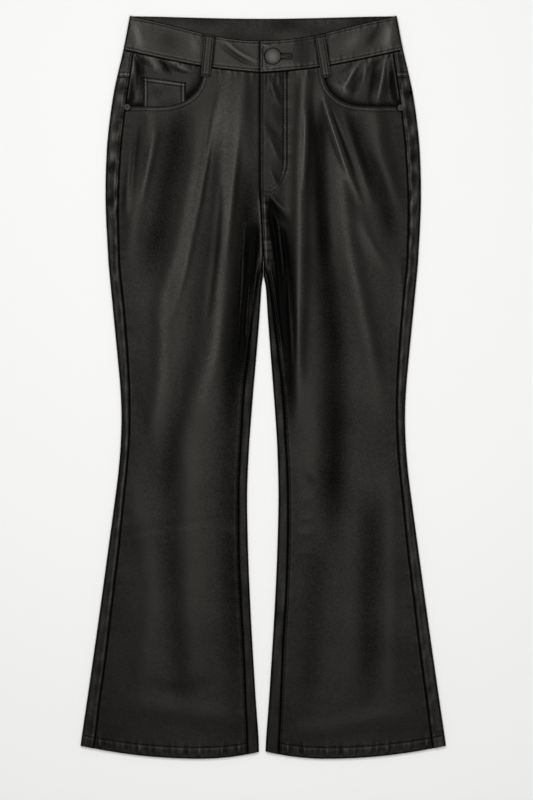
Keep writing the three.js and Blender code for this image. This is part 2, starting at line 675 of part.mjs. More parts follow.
// Keyhole for the button: a round eye with a slit that runs towards the side
function buttonhole() {
  const { eye, slit, end } = BUTTONHOLE;
  const angle = Math.asin(slit / eye);
  const outline = new THREE.Shape();
  outline.moveTo(BUTTON.x + eye * Math.cos(angle), -slit);
  outline.lineTo(end, -slit);
  outline.absarc(end, 0, slit, -Math.PI / 2, Math.PI / 2, false);
  outline.lineTo(BUTTON.x + eye * Math.cos(angle), slit);
  outline.absarc(BUTTON.x, 0, eye, angle, 2 * Math.PI - angle, false);
  const depth = 2 * BAND_TOP;
  const cut = new THREE.ExtrudeGeometry(outline, { depth, bevelEnabled: false, curveSegments: 6 });
  cut.translate(0, BUTTON.up - LENGTH / 2, BAND_TOP - BAND / 2);
  return joined(cut);
}

// Pieces
for (const leg of LEGS) {
  add(`back_leg_${leg.name}`, backLeg(leg), leather);
  add(`front_leg_${leg.name}`, frontLeg(leg), leather);
  add(`yoke_${leg.name}`, yoke(leg), leather);
  const band = waistband(leg);
  add(`waistband_${leg.name}`, leg.laps ? subtract(band, buttonhole()) : band, leather);
  add(`pocket_facing_${leg.name}`, pocketFacing(leg), pocketLeather);
}
add('coin_pocket', coinPocket(LEGS[0]), pocketLeather);

const upward = new THREE.Vector3(0, 0, 1);
const downward = new THREE.Vector3(0, 0, -1);
for (const place of FRONT_LOOPS) {
  add(place.name, beltLoop(place, BAND_TOP + SEAM_GAP + LOOP.thick, upward), leather);
}
for (const place of BACK_LOOPS) {
  add(place.name, beltLoop(place, 0, downward), leather);
}

const buttonBase = bandHeight(LEGS[1], BUTTON.x) + SEAM_GAP;
const buttonFoot = bandHeight(LEGS[0], BUTTON.x) + SEAM_GAP;
const buttonShape = domeProfile(buttonBase, BUTTON.radius, BUTTON.tall, BUTTON.shank, buttonFoot);
add('button', turned(buttonShape, 20, BUTTON.x, BUTTON.up), gunmetal);

for (const { name, x, up } of RIVET_PLACES) {
  const leg = x < 0 ? LEGS[0] : LEGS[1];
  const base = topHeight(leg, Math.abs(x), up) + SEAM_GAP;
  const { radius, tall } = RIVET;
  const profile = [[0, base], [radius, base], [radius, base + tall * 0.4]];
  profile.push([radius * 0.7, base + tall * 0.85], [0, base + tall]);
  add(name, turned(profile, 14, x, up), gunmetal);
}

export default group;
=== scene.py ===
import math

import bpy
import numpy as np
from mathutils.kdtree import KDTree
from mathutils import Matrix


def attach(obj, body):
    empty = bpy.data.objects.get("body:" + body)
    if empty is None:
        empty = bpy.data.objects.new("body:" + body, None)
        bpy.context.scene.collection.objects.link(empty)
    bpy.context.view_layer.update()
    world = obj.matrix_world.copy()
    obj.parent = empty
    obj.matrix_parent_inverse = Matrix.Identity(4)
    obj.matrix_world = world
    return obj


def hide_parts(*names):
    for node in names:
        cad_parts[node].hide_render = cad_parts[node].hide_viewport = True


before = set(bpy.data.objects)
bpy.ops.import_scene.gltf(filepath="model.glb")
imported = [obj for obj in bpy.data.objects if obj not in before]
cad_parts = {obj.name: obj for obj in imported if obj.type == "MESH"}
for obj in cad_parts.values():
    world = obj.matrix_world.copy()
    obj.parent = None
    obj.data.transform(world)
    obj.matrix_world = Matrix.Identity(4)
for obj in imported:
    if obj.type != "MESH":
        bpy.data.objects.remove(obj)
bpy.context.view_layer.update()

# Camera and framing
# The garment lies flat on its back and is seen from straight above, as on a cutting table.
# A long lens from far off keeps both legs and the waist in true proportion.
MM = 0.001
PHOTO_PIXEL = 1.40 * MM
PHOTO_HIGH = 800
PHOTO_MIDDLE = (266.5, 400.0)
ORIGIN_PIXEL = (263.25, 387.4)
CAMERA_HIGH = 6.0


def add_object(name, data):
    made = bpy.data.objects.new(name, data)
    bpy.context.collection.objects.link(made)
    return made


camera_data = bpy.data.cameras.new("camera")
camera = add_object("camera", camera_data)
camera_data.sensor_width = 36.0
camera_data.lens = camera_data.sensor_width * CAMERA_HIGH / (PHOTO_HIGH * PHOTO_PIXEL)
camera_data.clip_end = 100.0
camera.location = (
    (PHOTO_MIDDLE[0] - ORIGIN_PIXEL[0]) * PHOTO_PIXEL,
    (ORIGIN_PIXEL[1] - PHOTO_MIDDLE[1]) * PHOTO_PIXEL,
    CAMERA_HIGH,
)
bpy.context.scene.camera = camera
bpy.context.scene.view_settings.view_transform = "Standard"


# Outline of the garment
# A pair of flared trousers pressed flat: side seams and inside leg seams are rolled forward, so a
# strip of each back shows on the top face. Sizes are millimetres: "up" from the lowest hem point,
# the other columns outward from the centre line. right and left are the wearer's.
LENGTH = 1038.8
CROTCH_UP = 695.0
FORK_UP = 678.0
HALF_GAP = 0.15
LEATHER = 1.2
FORM = np.array([
    # up, side fold, side seam, inside leg seam, inside fold of right leg, of left leg
    (0, 258.2, 239.5, 22.0, 5.9, 2.6),
    (30, 254.1, 235.3, 23.0, 6.6, 4.1),
    (80, 246.8, 229.0, 25.3, 10.2, 7.8),
    (150, 236.7, 219.6, 28.0, 14.5, 12.3),
    (220, 226.9, 211.3, 32.0, 18.3, 16.4),
    (290, 217.4, 202.8, 34.9, 21.1, 19.5),
    (360, 207.9, 195.8, 35.3, 22.5, 21.2),
    (400, 202.9, 191.6, 34.5, 21.6, 20.7),
    (440, 199.6, 188.3, 32.2, 19.5, 19.3),
    (480, 198.5, 187.0, 30.2, 16.6, 16.8),
    (520, 200.2, 187.6, 27.3, 13.4, 13.8),
    (570, 204.7, 190.3, 21.5, 9.0, 9.9),
    (620, 209.6, 194.3, 15.4, 5.1, 6.2),
    (660, 213.5, 198.3, 10.3, 2.3, 3.4),
    (678, 215.2, 200.3, 6.6, 0, 0),
    (695, 216.7, 201.7, 0, 0, 0),
    (780, 220.7, 203.4, 0, 0, 0),
    (850, 219.1, 199.9, 0, 0, 0),
    (900, 214.1, 194.8, 0, 0, 0),
    (940, 207.6, 189.0, 0, 0, 0),
    (991.4, 195.8, 181.2, 0, 0, 0),
    (LENGTH, 186.8, 172.8, 0, 0, 0),
], dtype=float)
OUTER, OUTSEAM, INSEAM, INNER_RIGHT, INNER_LEFT = 1, 2, 3, 4, 5
WAIST = np.array([
    # share of the way to the side, then up of: front top edge, front band seam, back top edge,
    # back band seam, yoke seam
    (0, 1004.2, 959.4, 1035.2, 989.4, 916),
    (0.16, 1005.6, 962.1, 1035.4, 989.5, 922),
    (0.32, 1009.6, 965.5, 1035.9, 989.8, 928),
    (0.48, 1015.9, 970.2, 1036.6, 990.2, 934),
    (0.64, 1023.5, 976.2, 1037.4, 990.6, 940),
    (0.8, 1031.0, 982.8, 1038.2, 991.0, 946),
    (1, LENGTH, 991.4, LENGTH, 991.4, 952.2),
], dtype=float)
FRONT_TOP, FRONT_SEAM, BACK_TOP, BACK_SEAM, YOKE_SEAM = 1, 2, 3, 4, 5
LEGS = {
    "right": {"name": "right", "sign": -1.0, "inner": INNER_RIGHT, "laps": False},
    "left": {"name": "left", "sign": 1.0, "inner": INNER_LEFT, "laps": True},
}


def mix(a, b, share):
    return a + (b - a) * share


def ease(start, end, value):
    share = np.clip((np.asarray(value, float) - start) / (end - start), 0, 1)
    return share * share * (3 - 2 * share)


def follow(table, column, at):
    """A smooth curve through one column of a table, read at values of its first column."""
    at = np.asarray(at, float)
    key, value = table[:, 0], table[:, column]
    before = np.maximum(np.arange(len(key)) - 1, 0)
    after = np.minimum(np.arange(len(key)) + 1, len(key) - 1)
    slope = (value[after] - value[before]) / (key[after] - key[before])
    low = np.clip(np.searchsorted(key, at, side="left") - 1, 0, len(key) - 2)
    span = key[low + 1] - key[low]
    share = (at - key[low]) / span
    two, three = share ** 2, share ** 3
    inside = (
        (2 * three - 3 * two + 1) * value[low] + (three - 2 * two + share) * span * slope[low]
        + (3 * two - 2 * three) * value[low + 1] + (three - two) * span * slope[low + 1]
    )
    under = value[0] + slope[0] * (at - key[0])
    over = value[-1] + slope[-1] * (at - key[-1])
    return np.where(at < key[0], under, np.where(at > key[-1], over, inside))


def form(column, up):
    return follow(FORM, column, up)


def inner_fold(leg, up):
    return np.maximum(np.where(np.asarray(up) < FORK_UP, form(leg["inner"], up), 0), HALF_GAP)


def curve_up(curve, x):
    half = form(OUTER, WAIST[-1, curve])
    return follow(WAIST, curve, np.minimum(np.abs(x) / half, 1))


FLY_EDGE = np.array([(695, 0), (740, -1.6), (775, -3.2), (800, -4.4), (1010, -4.6)], dtype=float)


def fly_edge(up):
    return follow(FLY_EDGE, 1, up)


def front_inner_edge(leg, up):
    lap = 6 * ease(785, 825, up)
    top = fly_edge(up) + HALF_GAP if leg["laps"] else HALF_GAP - fly_edge(up) - lap
    return np.where(np.asarray(up) < CROTCH_UP, form(INSEAM, up) + HALF_GAP, top)


HEM_LOW_AT = 88.6
HEM_CORNERS = {"outer": (255.7, 18.0), "inner": (6.0, 9.5)}


def hem_up(x):
    """The hem curve: lowest a third of the way across a leg, rising to both corners."""
    outer = HEM_CORNERS["outer"][1] * ((x - HEM_LOW_AT) / (HEM_CORNERS["outer"][0] - HEM_LOW_AT)) ** 2
    inner = HEM_CORNERS["inner"][1] * ((x - HEM_LOW_AT) / (HEM_CORNERS["inner"][0] - HEM_LOW_AT)) ** 2
    return np.where(x > HEM_LOW_AT, outer, inner)


# Drape of the fronts
# Soft leather never lies quite flat: long folds run down from the fly, the pockets and the crotch,
# and shallower ones cross the knee and fan out in the flare. Each is a ridge or a trough.
TOP, TOP_AT_HEM, TOP_AT_BAND = 6.4, 6.0, 7.0
LOWEST_TOP = 2 * LEATHER + 0.7
FOLDS = {
    # half width, rise, and the way of the fold as (up, x) from its low end
    "right": [
        (13, 1.5, [(660, 190), (712, 186), (782, 176), (852, 159), (905, 157), (950, 155)]),
        (17, -1.3, [(640, 158), (712, 151), (782, 137), (852, 124), (887, 119), (940, 108)]),
        (15, 1.7, [
            (380, 178), (502, 146), (572, 140), (642, 139), (712, 117), (782, 102), (852, 89), (950, 82),
        ]),
        (11, -0.7, [
            (330, 146), (432, 130), (502, 116), (572, 102), (642, 94), (712, 81), (782, 75), (900, 73),
        ]),
        (10, 1.0, [(810, 24), (900, 26), (1020, 28)]),
        (12, 0.5, [(730, 60), (800, 62), (880, 60), (1010, 58)]),
        (16, 1.9, [(440, 102), (502, 88), (572, 69), (642, 61), (712, 57), (852, 50), (1020, 44)]),
        (20, 0.8, [(20, 92), (220, 102), (432, 102), (502, 88), (572, 69), (642, 61), (700, 58)]),
        (12, -1.45, [(430, 50), (572, 42), (642, 35), (712, 28), (782, 23), (850, 20)]),
        (8, -2.1, [(500, 30), (620, 26), (690, 17), (740, 11), (775, 7)]),
        (18, -0.8, [(20, 42), (150, 42), (290, 46), (432, 48), (560, 46)]),
        (15, -0.7, [(30, 114), (152, 123), (222, 130), (292, 133), (400, 131), (510, 126)]),
        (18, 0.7, [(30, 182), (100, 172), (152, 165), (222, 158), (292, 164), (362, 180), (450, 180)]),
        (12, -0.35, [(360, 156), (440, 160), (500, 176), (580, 182)]),
    ],
    "left": [
        (11, 2.7, [(430, 46), (572, 48), (712, 51), (852, 53), (1060, 64)]),
        (18, -1.5, [(240, 95), (292, 96), (432, 100), (572, 100), (642, 93), (712, 85), (770, 82)]),
        (8, -1.7, [(660, 91), (712, 86), (782, 81), (852, 78), (930, 74)]),
        (14, 1.7, [
            (430, 172), (572, 149), (642, 135), (712, 121), (782, 112), (852, 105), (887, 94), (1000, 70),
        ]),
        (12, -1.3, [(700, 186), (782, 171), (852, 137), (887, 127), (925, 118)]),
        (13, 1.4, [(740, 188), (812, 174), (852, 163), (890, 158), (930, 154)]),
        (8, -2.4, [(560, 26), (660, 20), (720, 15), (800, 7)]),
        (9, -1.8, [(430, 36), (560, 35), (640, 33), (700, 30), (790, 22)]),
        (17, 0.5, [(330, 54), (420, 66), (460, 70), (560, 54)]),
        (17, 0.4, [(30, 110), (150, 121), (292, 121), (380, 120)]),
        (14, -0.8, [(30, 150), (152, 150), (222, 149), (292, 152), (390, 156)]),
        (14, 0.8, [(30, 179), (152, 177), (292, 178), (362, 176), (450, 174)]),
        (16, -0.6, [(30, 64), (150, 66), (222, 72), (320, 76)]),
        (40, -0.22, [(0, 128), (250, 132), (432, 145), (600, 140), (760, 125)]),
    ],
}


def fold_parts(leg, x, up):
    """Rise of the leg's ridges and of its troughs."""
    ridges, troughs = np.zeros((2, *np.broadcast(x, up).shape))
    for wide, rise, way in FOLDS[leg["name"]]:
        low, high = way[0][0], way[-1][0]
        share = np.clip((up - low) / (high - low), 0, 1)
        ups = np.linspace(low, high, 80)
        off = (x - np.interp(up, ups, follow(np.array(way, dtype=float), 1, ups))) / wide
        part = rise * np.exp(-off * off) * ease(0, 0.3, share) * (1 - ease(0.78, 1, share))
        if rise > 0:
            ridges = ridges + part
        else:
            troughs = troughs + part
    return ridges, troughs


def open_height(leg, x, up):
    height = mix(TOP_AT_HEM, TOP, ease(20, 70, up)) + (TOP_AT_BAND - TOP) * ease(920, 955, up)
    return np.maximum(height + sum(fold_parts(leg, x, up)), LOWEST_TOP)


def inner_round(leg, up):
    return open_height(leg, inner_fold(leg, up) + 3, up) / 2


def top_height(leg, x, up):
    """The top face. It rounds down over the inside fold, and less so above the crotch."""
    height = open_height(leg, x, up)
    round_ = inner_round(leg, up)
    off = np.clip((inner_fold(leg, up) + round_ - x) / round_, 0, 0.995)
    return height - round_ * (1 - np.sqrt(1 - off * off)) * (1 - ease(CROTCH_UP, CROTCH_UP + 40, up))


CREASES = {
    # small creases: three points (x, up) that each bends through, half width, rise
    "right": [
        (7, 702, 12, 660, 17, 605, 1.8, 1.7),
        (13, 730, 19, 665, 25, 590, 2.2, 1.9),
        (25, 750, 30, 670, 35, 575, 2.4, 1.5),
        (10, 740, 14, 705, 20, 650, 3.5, -1.2),
        (25, 700, 27, 650, 30, 590, 4.0, 1.4),
        (20, 690, 22, 640, 25, 590, 2.5, 0.9),
        (196, 311, 163, 322, 62, 335, 5, -0.3),
        (196, 303, 160, 315, 70, 328, 4, 0.2),
        (30, 300, 45, 320, 66, 328, 6, 0.5),
        (183, 850, 189, 800, 192, 760, 5, 1.0),
        (176, 880, 181, 840, 186, 790, 4, -0.8),
        (60, 930, 66, 900, 70, 850, 6, 0.7),
        (33, 935, 35, 880, 38, 820, 8, 0.7),
        (70, 900, 78, 840, 96, 740, 4, 0.9),
        (34, 880, 42, 800, 52, 700, 5, 1.0),
        (150, 880, 160, 830, 170, 780, 5, 0.9),
        (60, 800, 66, 720, 78, 620, 5, -0.9),
        (96, 760, 108, 690, 128, 620, 6, 0.9),
        (40, 60, 100, 66, 200, 84, 14, 0.5),
        (70, 110, 110, 96, 160, 100, 10, -0.4),
    ],
    "left": [
        (9, 742, 15, 700, 20, 640, 2.0, 1.9),
        (17, 762, 25, 720, 30, 655, 2.2, 1.6),
        (10, 690, 18, 640, 26, 575, 1.8, 1.7),
        (30, 705, 36, 640, 40, 555, 2.3, 1.4),
        (6, 782, 16, 768, 34, 748, 3.5, -1.5),
        (8, 792, 20, 776, 34, 766, 3.0, 1.0),
        (9, 762, 16, 733, 20, 690, 3.0, -1.4),
        (13, 745, 22, 715, 26, 660, 3.0, 1.2),
        (24, 742, 31, 712, 33, 640, 3.0, -1.2),
        (8, 735, 11, 705, 14, 670, 2.0, 1.0),
        (60, 905, 59, 870, 57, 800, 3.5, 1.3),
        (70, 920, 70, 860, 68, 780, 5.0, -0.4),
        (84, 925, 97, 880, 118, 815, 4.5, 1.7),
        (96, 905, 110, 870, 130, 820, 3.0, -0.8),
        (135, 760, 150, 720, 170, 690, 8, 0.8),
        (50, 368, 60, 366, 76, 372, 2.6, 0.6),
        (50, 338, 60, 337, 72, 340, 2.4, 0.6),
        (49, 318, 58, 316, 70, 318, 2.6, 0.6),
        (48, 290, 56, 289, 68, 292, 2.4, 0.5),
        (58, 400, 68, 388, 80, 384, 4, -0.7),
        (36, 700, 40, 640, 42, 560, 4, -1.0),
        (190, 700, 193, 650, 192, 600, 6, 0.6),
        (96, 890, 112, 840, 136, 780, 4.5, 1.3),
        (112, 905, 130, 850, 150, 780, 6, 1.1),
        (10, 955, 14, 935, 24, 915, 4, 0.9),
        (2, 900, 14, 880, 24, 872, 5, -0.7),
        (4, 872, 14, 855, 22, 838, 5, 0.8),
        (8, 824, 15, 812, 21, 800, 3, 0.7),
        (8, 960, 6, 948, 5, 936, 2.5, 0.7),
        (22, 962, 22, 950, 23, 940, 2.5, 0.6),
        (40, 40, 100, 46, 200, 66, 12, 0.4),
    ],
}


def crease_rise(lines, x, up):
    """Height of creases, each fading away from its line and towards both of its ends."""
    x, up = np.broadcast_arrays(np.asarray(x, float), np.asarray(up, float))
    total = np.zeros(x.shape)
    shares = np.linspace(0, 1, 17)
    for x1, up1, x2, up2, x3, up3, wide, rise in lines:
        near = (
            (x > min(x1, x2, x3) - 3 * wide) & (x < max(x1, x2, x3) + 3 * wide)
            & (up > min(up1, up2, up3) - 3 * wide) & (up < max(up1, up2, up3) + 3 * wide)
        )
        if not near.any():
            continue
        bx, bu = 2 * x2 - (x1 + x3) / 2, 2 * up2 - (up1 + up3) / 2
        line_x = (1 - shares) ** 2 * x1 + 2 * shares * (1 - shares) * bx + shares ** 2 * x3
        line_up = (1 - shares) ** 2 * up1 + 2 * shares * (1 - shares) * bu + shares ** 2 * up3
        px, pu = x[near], up[near]
        best = np.full(px.shape, 1e9)
        along = np.zeros(px.shape)
        for part in range(len(shares) - 1):
            ax, au = line_x[part], line_up[part]
            dx, du = line_x[part + 1] - ax, line_up[part + 1] - au
            slide = np.clip(((px - ax) * dx + (pu - au) * du) / (dx * dx + du * du), 0, 1)
            off = (px - ax - slide * dx) ** 2 + (pu - au - slide * du) ** 2
            closer = off < best
            best = np.where(closer, off, best)
            along = np.where(closer, (part + slide) / (len(shares) - 1), along)
        total[near] += rise * np.exp(-best / wide ** 2) * (0.25 + 0.75 * np.sin(np.pi * along))
    return total


def ripple(x, up, size, seed):
    """A smooth uneven surface between about -1 and 1, with bumps of a given size."""
    chance = np.random.default_rng(seed)
    total = 0
    for _ in range(7):
        angle, phase = chance.uniform(0, np.pi), chance.uniform(0, 2 * np.pi)
        wave = 2 * np.pi / (size * chance.uniform(0.7, 1.5))
        total = total + np.sin((x * np.cos(angle) + up * np.sin(angle)) * wave + phase)
    return total / 3.5


def seam_roll(distance, depth=0.9, reach=1.0):
    """How far a turned edge drops as it runs into its seam."""
    return -depth * np.exp(-(np.maximum(distance, 0) / reach) ** 1.3)


def groove(distance, depth, half):
    """The dent that a row of stitches pulls into the leather."""
    return -depth * np.exp(-(distance / half) ** 2)


def pucker(distance, along, seed, size=0.2, reach=6.0):
    """Small uneven puffs that a row of stitches gathers in the leather beside it."""
    chance = np.random.default_rng(seed)
    total = 0
    for period in (7.0, 10.5, 16.0, 27.0):
        period = period * chance.uniform(0.85, 1.15)
        total = total + np.sin(2 * np.pi * along / period + chance.uniform(0, 6))
    return size * total / 2.2 * np.exp(-(distance / reach) ** 2)


EDGE, ROW = "edge", "row"
EDGE_DROP, ROW_DENT, LINE_REACH, DEEPEST = 0.65, 0.35, 0.9, -0.95
# painted shade in edges and rows, and the painted highlight on their shoulders
LINE_SHADE_DEPTH, LINE_SHADE_HALF = {EDGE: 0.36, ROW: 0.22}, 0.8
SHOULDER_HIGHLIGHT, SHOULDER_HIGHLIGHT_AT = 0.10, {EDGE: 2.4, ROW: 2.3}


def relief(lines):
    """Height of turned edges and stitch rows, each given as (kind, distance, how far it applies)."""
    total = 0
    for kind, distance, on in lines:
        edge = kind == EDGE
        drop = seam_roll(distance, EDGE_DROP, LINE_REACH) if edge else groove(distance, ROW_DENT, LINE_REACH)
        total = total + on * drop
    return np.maximum(total, DEEPEST)


def painted_line_shade(lines):
    """Painted shade along each edge and stitch row, with a narrow painted highlight on both of its shoulders.
    """
    total = 0
    for kind, distance, on in lines:
        total = total - on * LINE_SHADE_DEPTH[kind] * np.exp(-(distance / LINE_SHADE_HALF) ** 2)
        total = total + on * SHOULDER_HIGHLIGHT * np.exp(-(np.abs(distance) - SHOULDER_HIGHLIGHT_AT[kind]) ** 2)
    return total


# tone of a leg that lies flat, the painted sheen the thigh adds, and what a millimetre of each form adds:
# painted highlight on ridges, painted shade in troughs, both on creases
FLAT_TONE, THIGH_SHEEN = 0.408, 0.025
RIDGE_HIGHLIGHT, TROUGH_SHADE, CREASE_LIGHT_AND_SHADE = 0.070, 0.19, 0.14


def drape_tone_and_painted_light(leg, x, up):
    """Painted light of the drape: a painted highlight along ridges, lighter down the middle of a leg,
    painted shade in the troughs and towards the leg's edges, and a little uneven tone.
    """
    inner, outer = front_inner_edge(leg, up), form(OUTSEAM, up)
    off = (2 * (x - inner) / (outer - inner) - 1) ** 2
    worn = 0.02 * ripple(leg["sign"] * x, up * 0.5, 60, 8)
    ridges, troughs = fold_parts(leg, x, up)
    creases = CREASE_LIGHT_AND_SHADE * crease_rise(CREASES[leg["name"]], x, up)
    folds = RIDGE_HIGHLIGHT * ridges + TROUGH_SHADE * troughs + creases
    return FLAT_TONE + THIGH_SHEEN * ease(250, 600, up) + folds - 0.085 * off + worn


def drape(leg, x, up):
    """Large folds, small creases and the slight unevenness of the hide."""
    rough = 0.07 * ripple(leg["sign"] * x, up, 46, 3) + 0.025 * ripple(leg["sign"] * x, up, 15, 4)
    rough = rough * ease(10, 40, up) * (1 - ease(930, 950, up))
    return top_height(leg, x, up) + crease_rise(CREASES[leg["name"]], x, up) + rough


# Leather
# Smooth black coated leather with a fine pressed grain and a soft sheen. The coating is even, but its
# colour carries a painted highlight on the crests of folds and painted shade down in the creases, where it is
# also matt.
def linear(hex_colour):
    parts = [int(hex_colour[at:at + 2], 16) / 255 for at in (1, 3, 5)]
    return [part / 12.92 if part <= 0.04045 else ((part + 0.055) / 1.055) ** 2.4 for part in parts] + [1.0]


def add_node(tree, kind, values=(), links=(), **settings):
    made = tree.nodes.new(kind)
    for name, value in settings.items():
        setattr(made, name, value)
    for socket, value in dict(values).items():
        made.inputs[socket].default_value = value
    for socket, source in dict(links).items():
        tree.links.new(source, made.inputs[socket])
    return made


def new_material(name):
    """An empty material and its node tree."""
    material = bpy.data.materials.new(name)
    material.use_nodes = True
    material.node_tree.nodes.clear()
    return material, material.node_tree


# The pressed grain is about 1 mm across in the real leather, and drawn at 2.2 mm, coarser, so that it
# shows from this far. Pores are drawn at 2.4 mm. Worn patches are about 38 mm, as in the real leather.
GRAIN, PORES, PATCHES = 2.2, 2.4, 38
GRAIN_DEPTH = 0.10
DULLEST, GLOSSIEST = 0.3, 1.1


def grained_leather(name, dark, mid, light, rough):
    """Coated leather. dark, mid and light are its colour as painted shade in creases,
    lying flat, and as painted highlight on crests.
    """
    material, tree = new_material(name)
    place = {"Vector": add_node(tree, "ShaderNodeTexCoord").outputs["Object"]}
    # painted light and shade of the piece, with uneven tone, read from its attribute
    tone_and_painted_light = add_node(tree, "ShaderNodeAttribute", attribute_name="tone_and_painted_light").outputs["Fac"]
    cells = add_node(tree, "ShaderNodeTexVoronoi", {"Scale": 1 / (GRAIN * MM)}, place)
    fine, patches = (
        add_node(tree, "ShaderNodeTexNoise", {"Scale": 1 / (size * MM), "Detail": detail}, place).outputs[0]
        for size, detail in ((PORES, 4.0), (PATCHES, 3.0))
    )
    mottle = add_node(
        tree, "ShaderNodeMath", {1: 0.08}, {0: patches, 2: tone_and_painted_light}, operation="MULTIPLY_ADD"
    ).outputs[0]
    speckle = add_node(
        tree, "ShaderNodeMath", {1: 0.34}, {0: fine, 2: mottle}, operation="MULTIPLY_ADD"
    ).outputs[0]
    tone = add_node(tree, "ShaderNodeValToRGB", (), {"Fac": speckle})
    tone.color_ramp.elements[0].position = DULLEST
    tone.color_ramp.elements[0].color = linear(dark)
    tone.color_ramp.elements[1].color = linear(light)
    tone.color_ramp.elements.new(0.71).color = linear(mid)
    gloss, shine = (
        add_node(
            tree, "ShaderNodeMapRange",
            {"From Min": DULLEST, "From Max": GLOSSIEST, "To Min": low, "To Max": high}, {"Value": speckle},
        ).outputs[0]
        for low, high in ((0.01, 0.165), (rough + 0.10, rough - 0.07))
    )
    surface = add_node(
        tree, "ShaderNodeMath", {1: 0.55}, {0: cells.outputs["Distance"], 2: fine}, operation="MULTIPLY_ADD"
    )
    bump = add_node(
        tree, "ShaderNodeBump", {"Strength": 0.7, "Distance": GRAIN_DEPTH * MM},
        {"Height": surface.outputs[0]},
    )
    shader = add_node(
        tree, "ShaderNodeBsdfPrincipled",
        {"IOR": 1.46, "Metallic": 0.0, "Specular Tint": (1.0, 0.965, 0.88, 1.0)},
        {
            "Base Color": tone.outputs["Color"], "Roughness": shine,
            "Specular IOR Level": gloss, "Normal": bump.outputs["Normal"],
        },
    )
    add_node(tree, "ShaderNodeOutputMaterial", (), {"Surface": shader.outputs[0]})
    return material


body_leather = grained_leather("black_coated_leather", "#040404", "#0f0e0d", "#2b2a28", 0.27)

EDGE_STEPS = (0.0, 0.3, 0.7, 1.2, 1.8, 2.4, 3.2, 4.2, 5.4, 6.6, 8.0)


def graded(start, end, spacing, fine_start=True):
    """Values from start to end, about spacing apart, closer together beside a seam or edge."""
    first = [start + step for step in EDGE_STEPS] if fine_start else [start]
    last = [end - step for step in reversed(EDGE_STEPS)]
    count = max(int(round((last[0] - first[-1]) / spacing)), 1)
    middle = np.linspace(first[-1], last[0], count + 1)[1:-1]
    return np.array([*first, *middle, *last])


LOWEST_INSIDE = 0.05


def cut_leather(name, outer, thick, material, tone_and_painted_light, inside=0.3):
    """A closed wall of leather from its outer face, a grid of points in millimetres."""
    along = np.gradient(outer, axis=0)
    across = np.gradient(outer, axis=1)
    out = np.cross(across, along)
    out /= np.maximum(np.linalg.norm(out, axis=2, keepdims=True), 1e-9)
    low = outer[..., 2] < outer[..., 2].min() + 0.5
    if (out[..., 2][low] > 0).mean() > 0.5:
        out = -out
    return closed_wall(name, outer, out, thick, material, tone_and_painted_light, inside)


def in_scene(points):
    """Millimetres from the hem as metres in the frame, whose origin is halfway up the garment."""
    return points * MM - np.array([0, LENGTH / 2 * MM, 0])


def closed_wall(name, outer, out, thick, material, tone_and_painted_light, inside=0.3):
    """A wall of leather between a grid of outer points and the same grid moved inward by thick.
    The value after material is the painted light and shade of its outer face, with uneven tone; inside is the
    tone of its hidden face."""
    rows, columns = outer.shape[:2]
    inner = outer - out * np.broadcast_to(np.asarray(thick, float), (rows, columns))[..., None]
    inner[..., 2] = np.maximum(inner[..., 2], LOWEST_INSIDE)
    count = rows * columns
    at = np.arange(count).reshape(rows, columns)
    a, b, c, d = at[:-1, :-1], at[:-1, 1:], at[1:, 1:], at[1:, :-1]
    faces = [np.stack([a, b, c, d], -1).reshape(-1, 4)]
    faces.append(np.stack([a, d, c, b], -1).reshape(-1, 4) + count)
    for edge, near in ((at[0], True), (at[-1], False)):
        strip = np.stack([edge[1:], edge[:-1], edge[:-1] + count, edge[1:] + count], -1)
        faces.append(strip if near else strip[:, ::-1])
    for edge, near in ((at[:, 0], True), (at[:, -1], False)):
        strip = np.stack([edge[:-1], edge[1:], edge[1:] + count, edge[:-1] + count], -1)
        faces.append(strip if near else strip[:, ::-1])
    faces = np.concatenate(faces)
    points = np.concatenate([outer.reshape(-1, 3), inner.reshape(-1, 3)])
    side = points[b[0, 0]] - points[a[0, 0]]
    facing = np.dot(np.cross(side, points[d[0, 0]] - points[a[0, 0]]), out[0, 0])
    if facing < 0:
        faces = faces[:, ::-1]
    mesh = bpy.data.meshes.new(name)
    mesh.vertices.add(len(points))
    mesh.vertices.foreach_set("co", in_scene(points).ravel())
    mesh.loops.add(faces.size)
    mesh.loops.foreach_set("vertex_index", faces.ravel())
    mesh.polygons.add(len(faces))
    mesh.polygons.foreach_set("loop_start", np.arange(0, faces.size, 4))
    mesh.update(calc_edges=True)
    mesh.validate()
    mesh.shade_smooth()
    mesh.set_sharp_from_angle(angle=math.radians(55))
    rubbed = [np.broadcast_to(np.asarray(face, float), (rows, columns)).ravel() for face in (tone_and_painted_light, inside)]
    layer = mesh.attributes.new("tone_and_painted_light", "FLOAT", "POINT")
    layer.data.foreach_set("value", np.concatenate(rubbed))
    mesh.materials.append(material)
    return add_object(name, mesh)


def leg_points(leg, x, up, z):
    """Points of one half, with x outward from the centre line."""
    x, up, z = np.broadcast_arrays(leg["sign"] * np.asarray(x, float), np.asarray(up, float), z)
    return np.stack([x, up, z], -1)


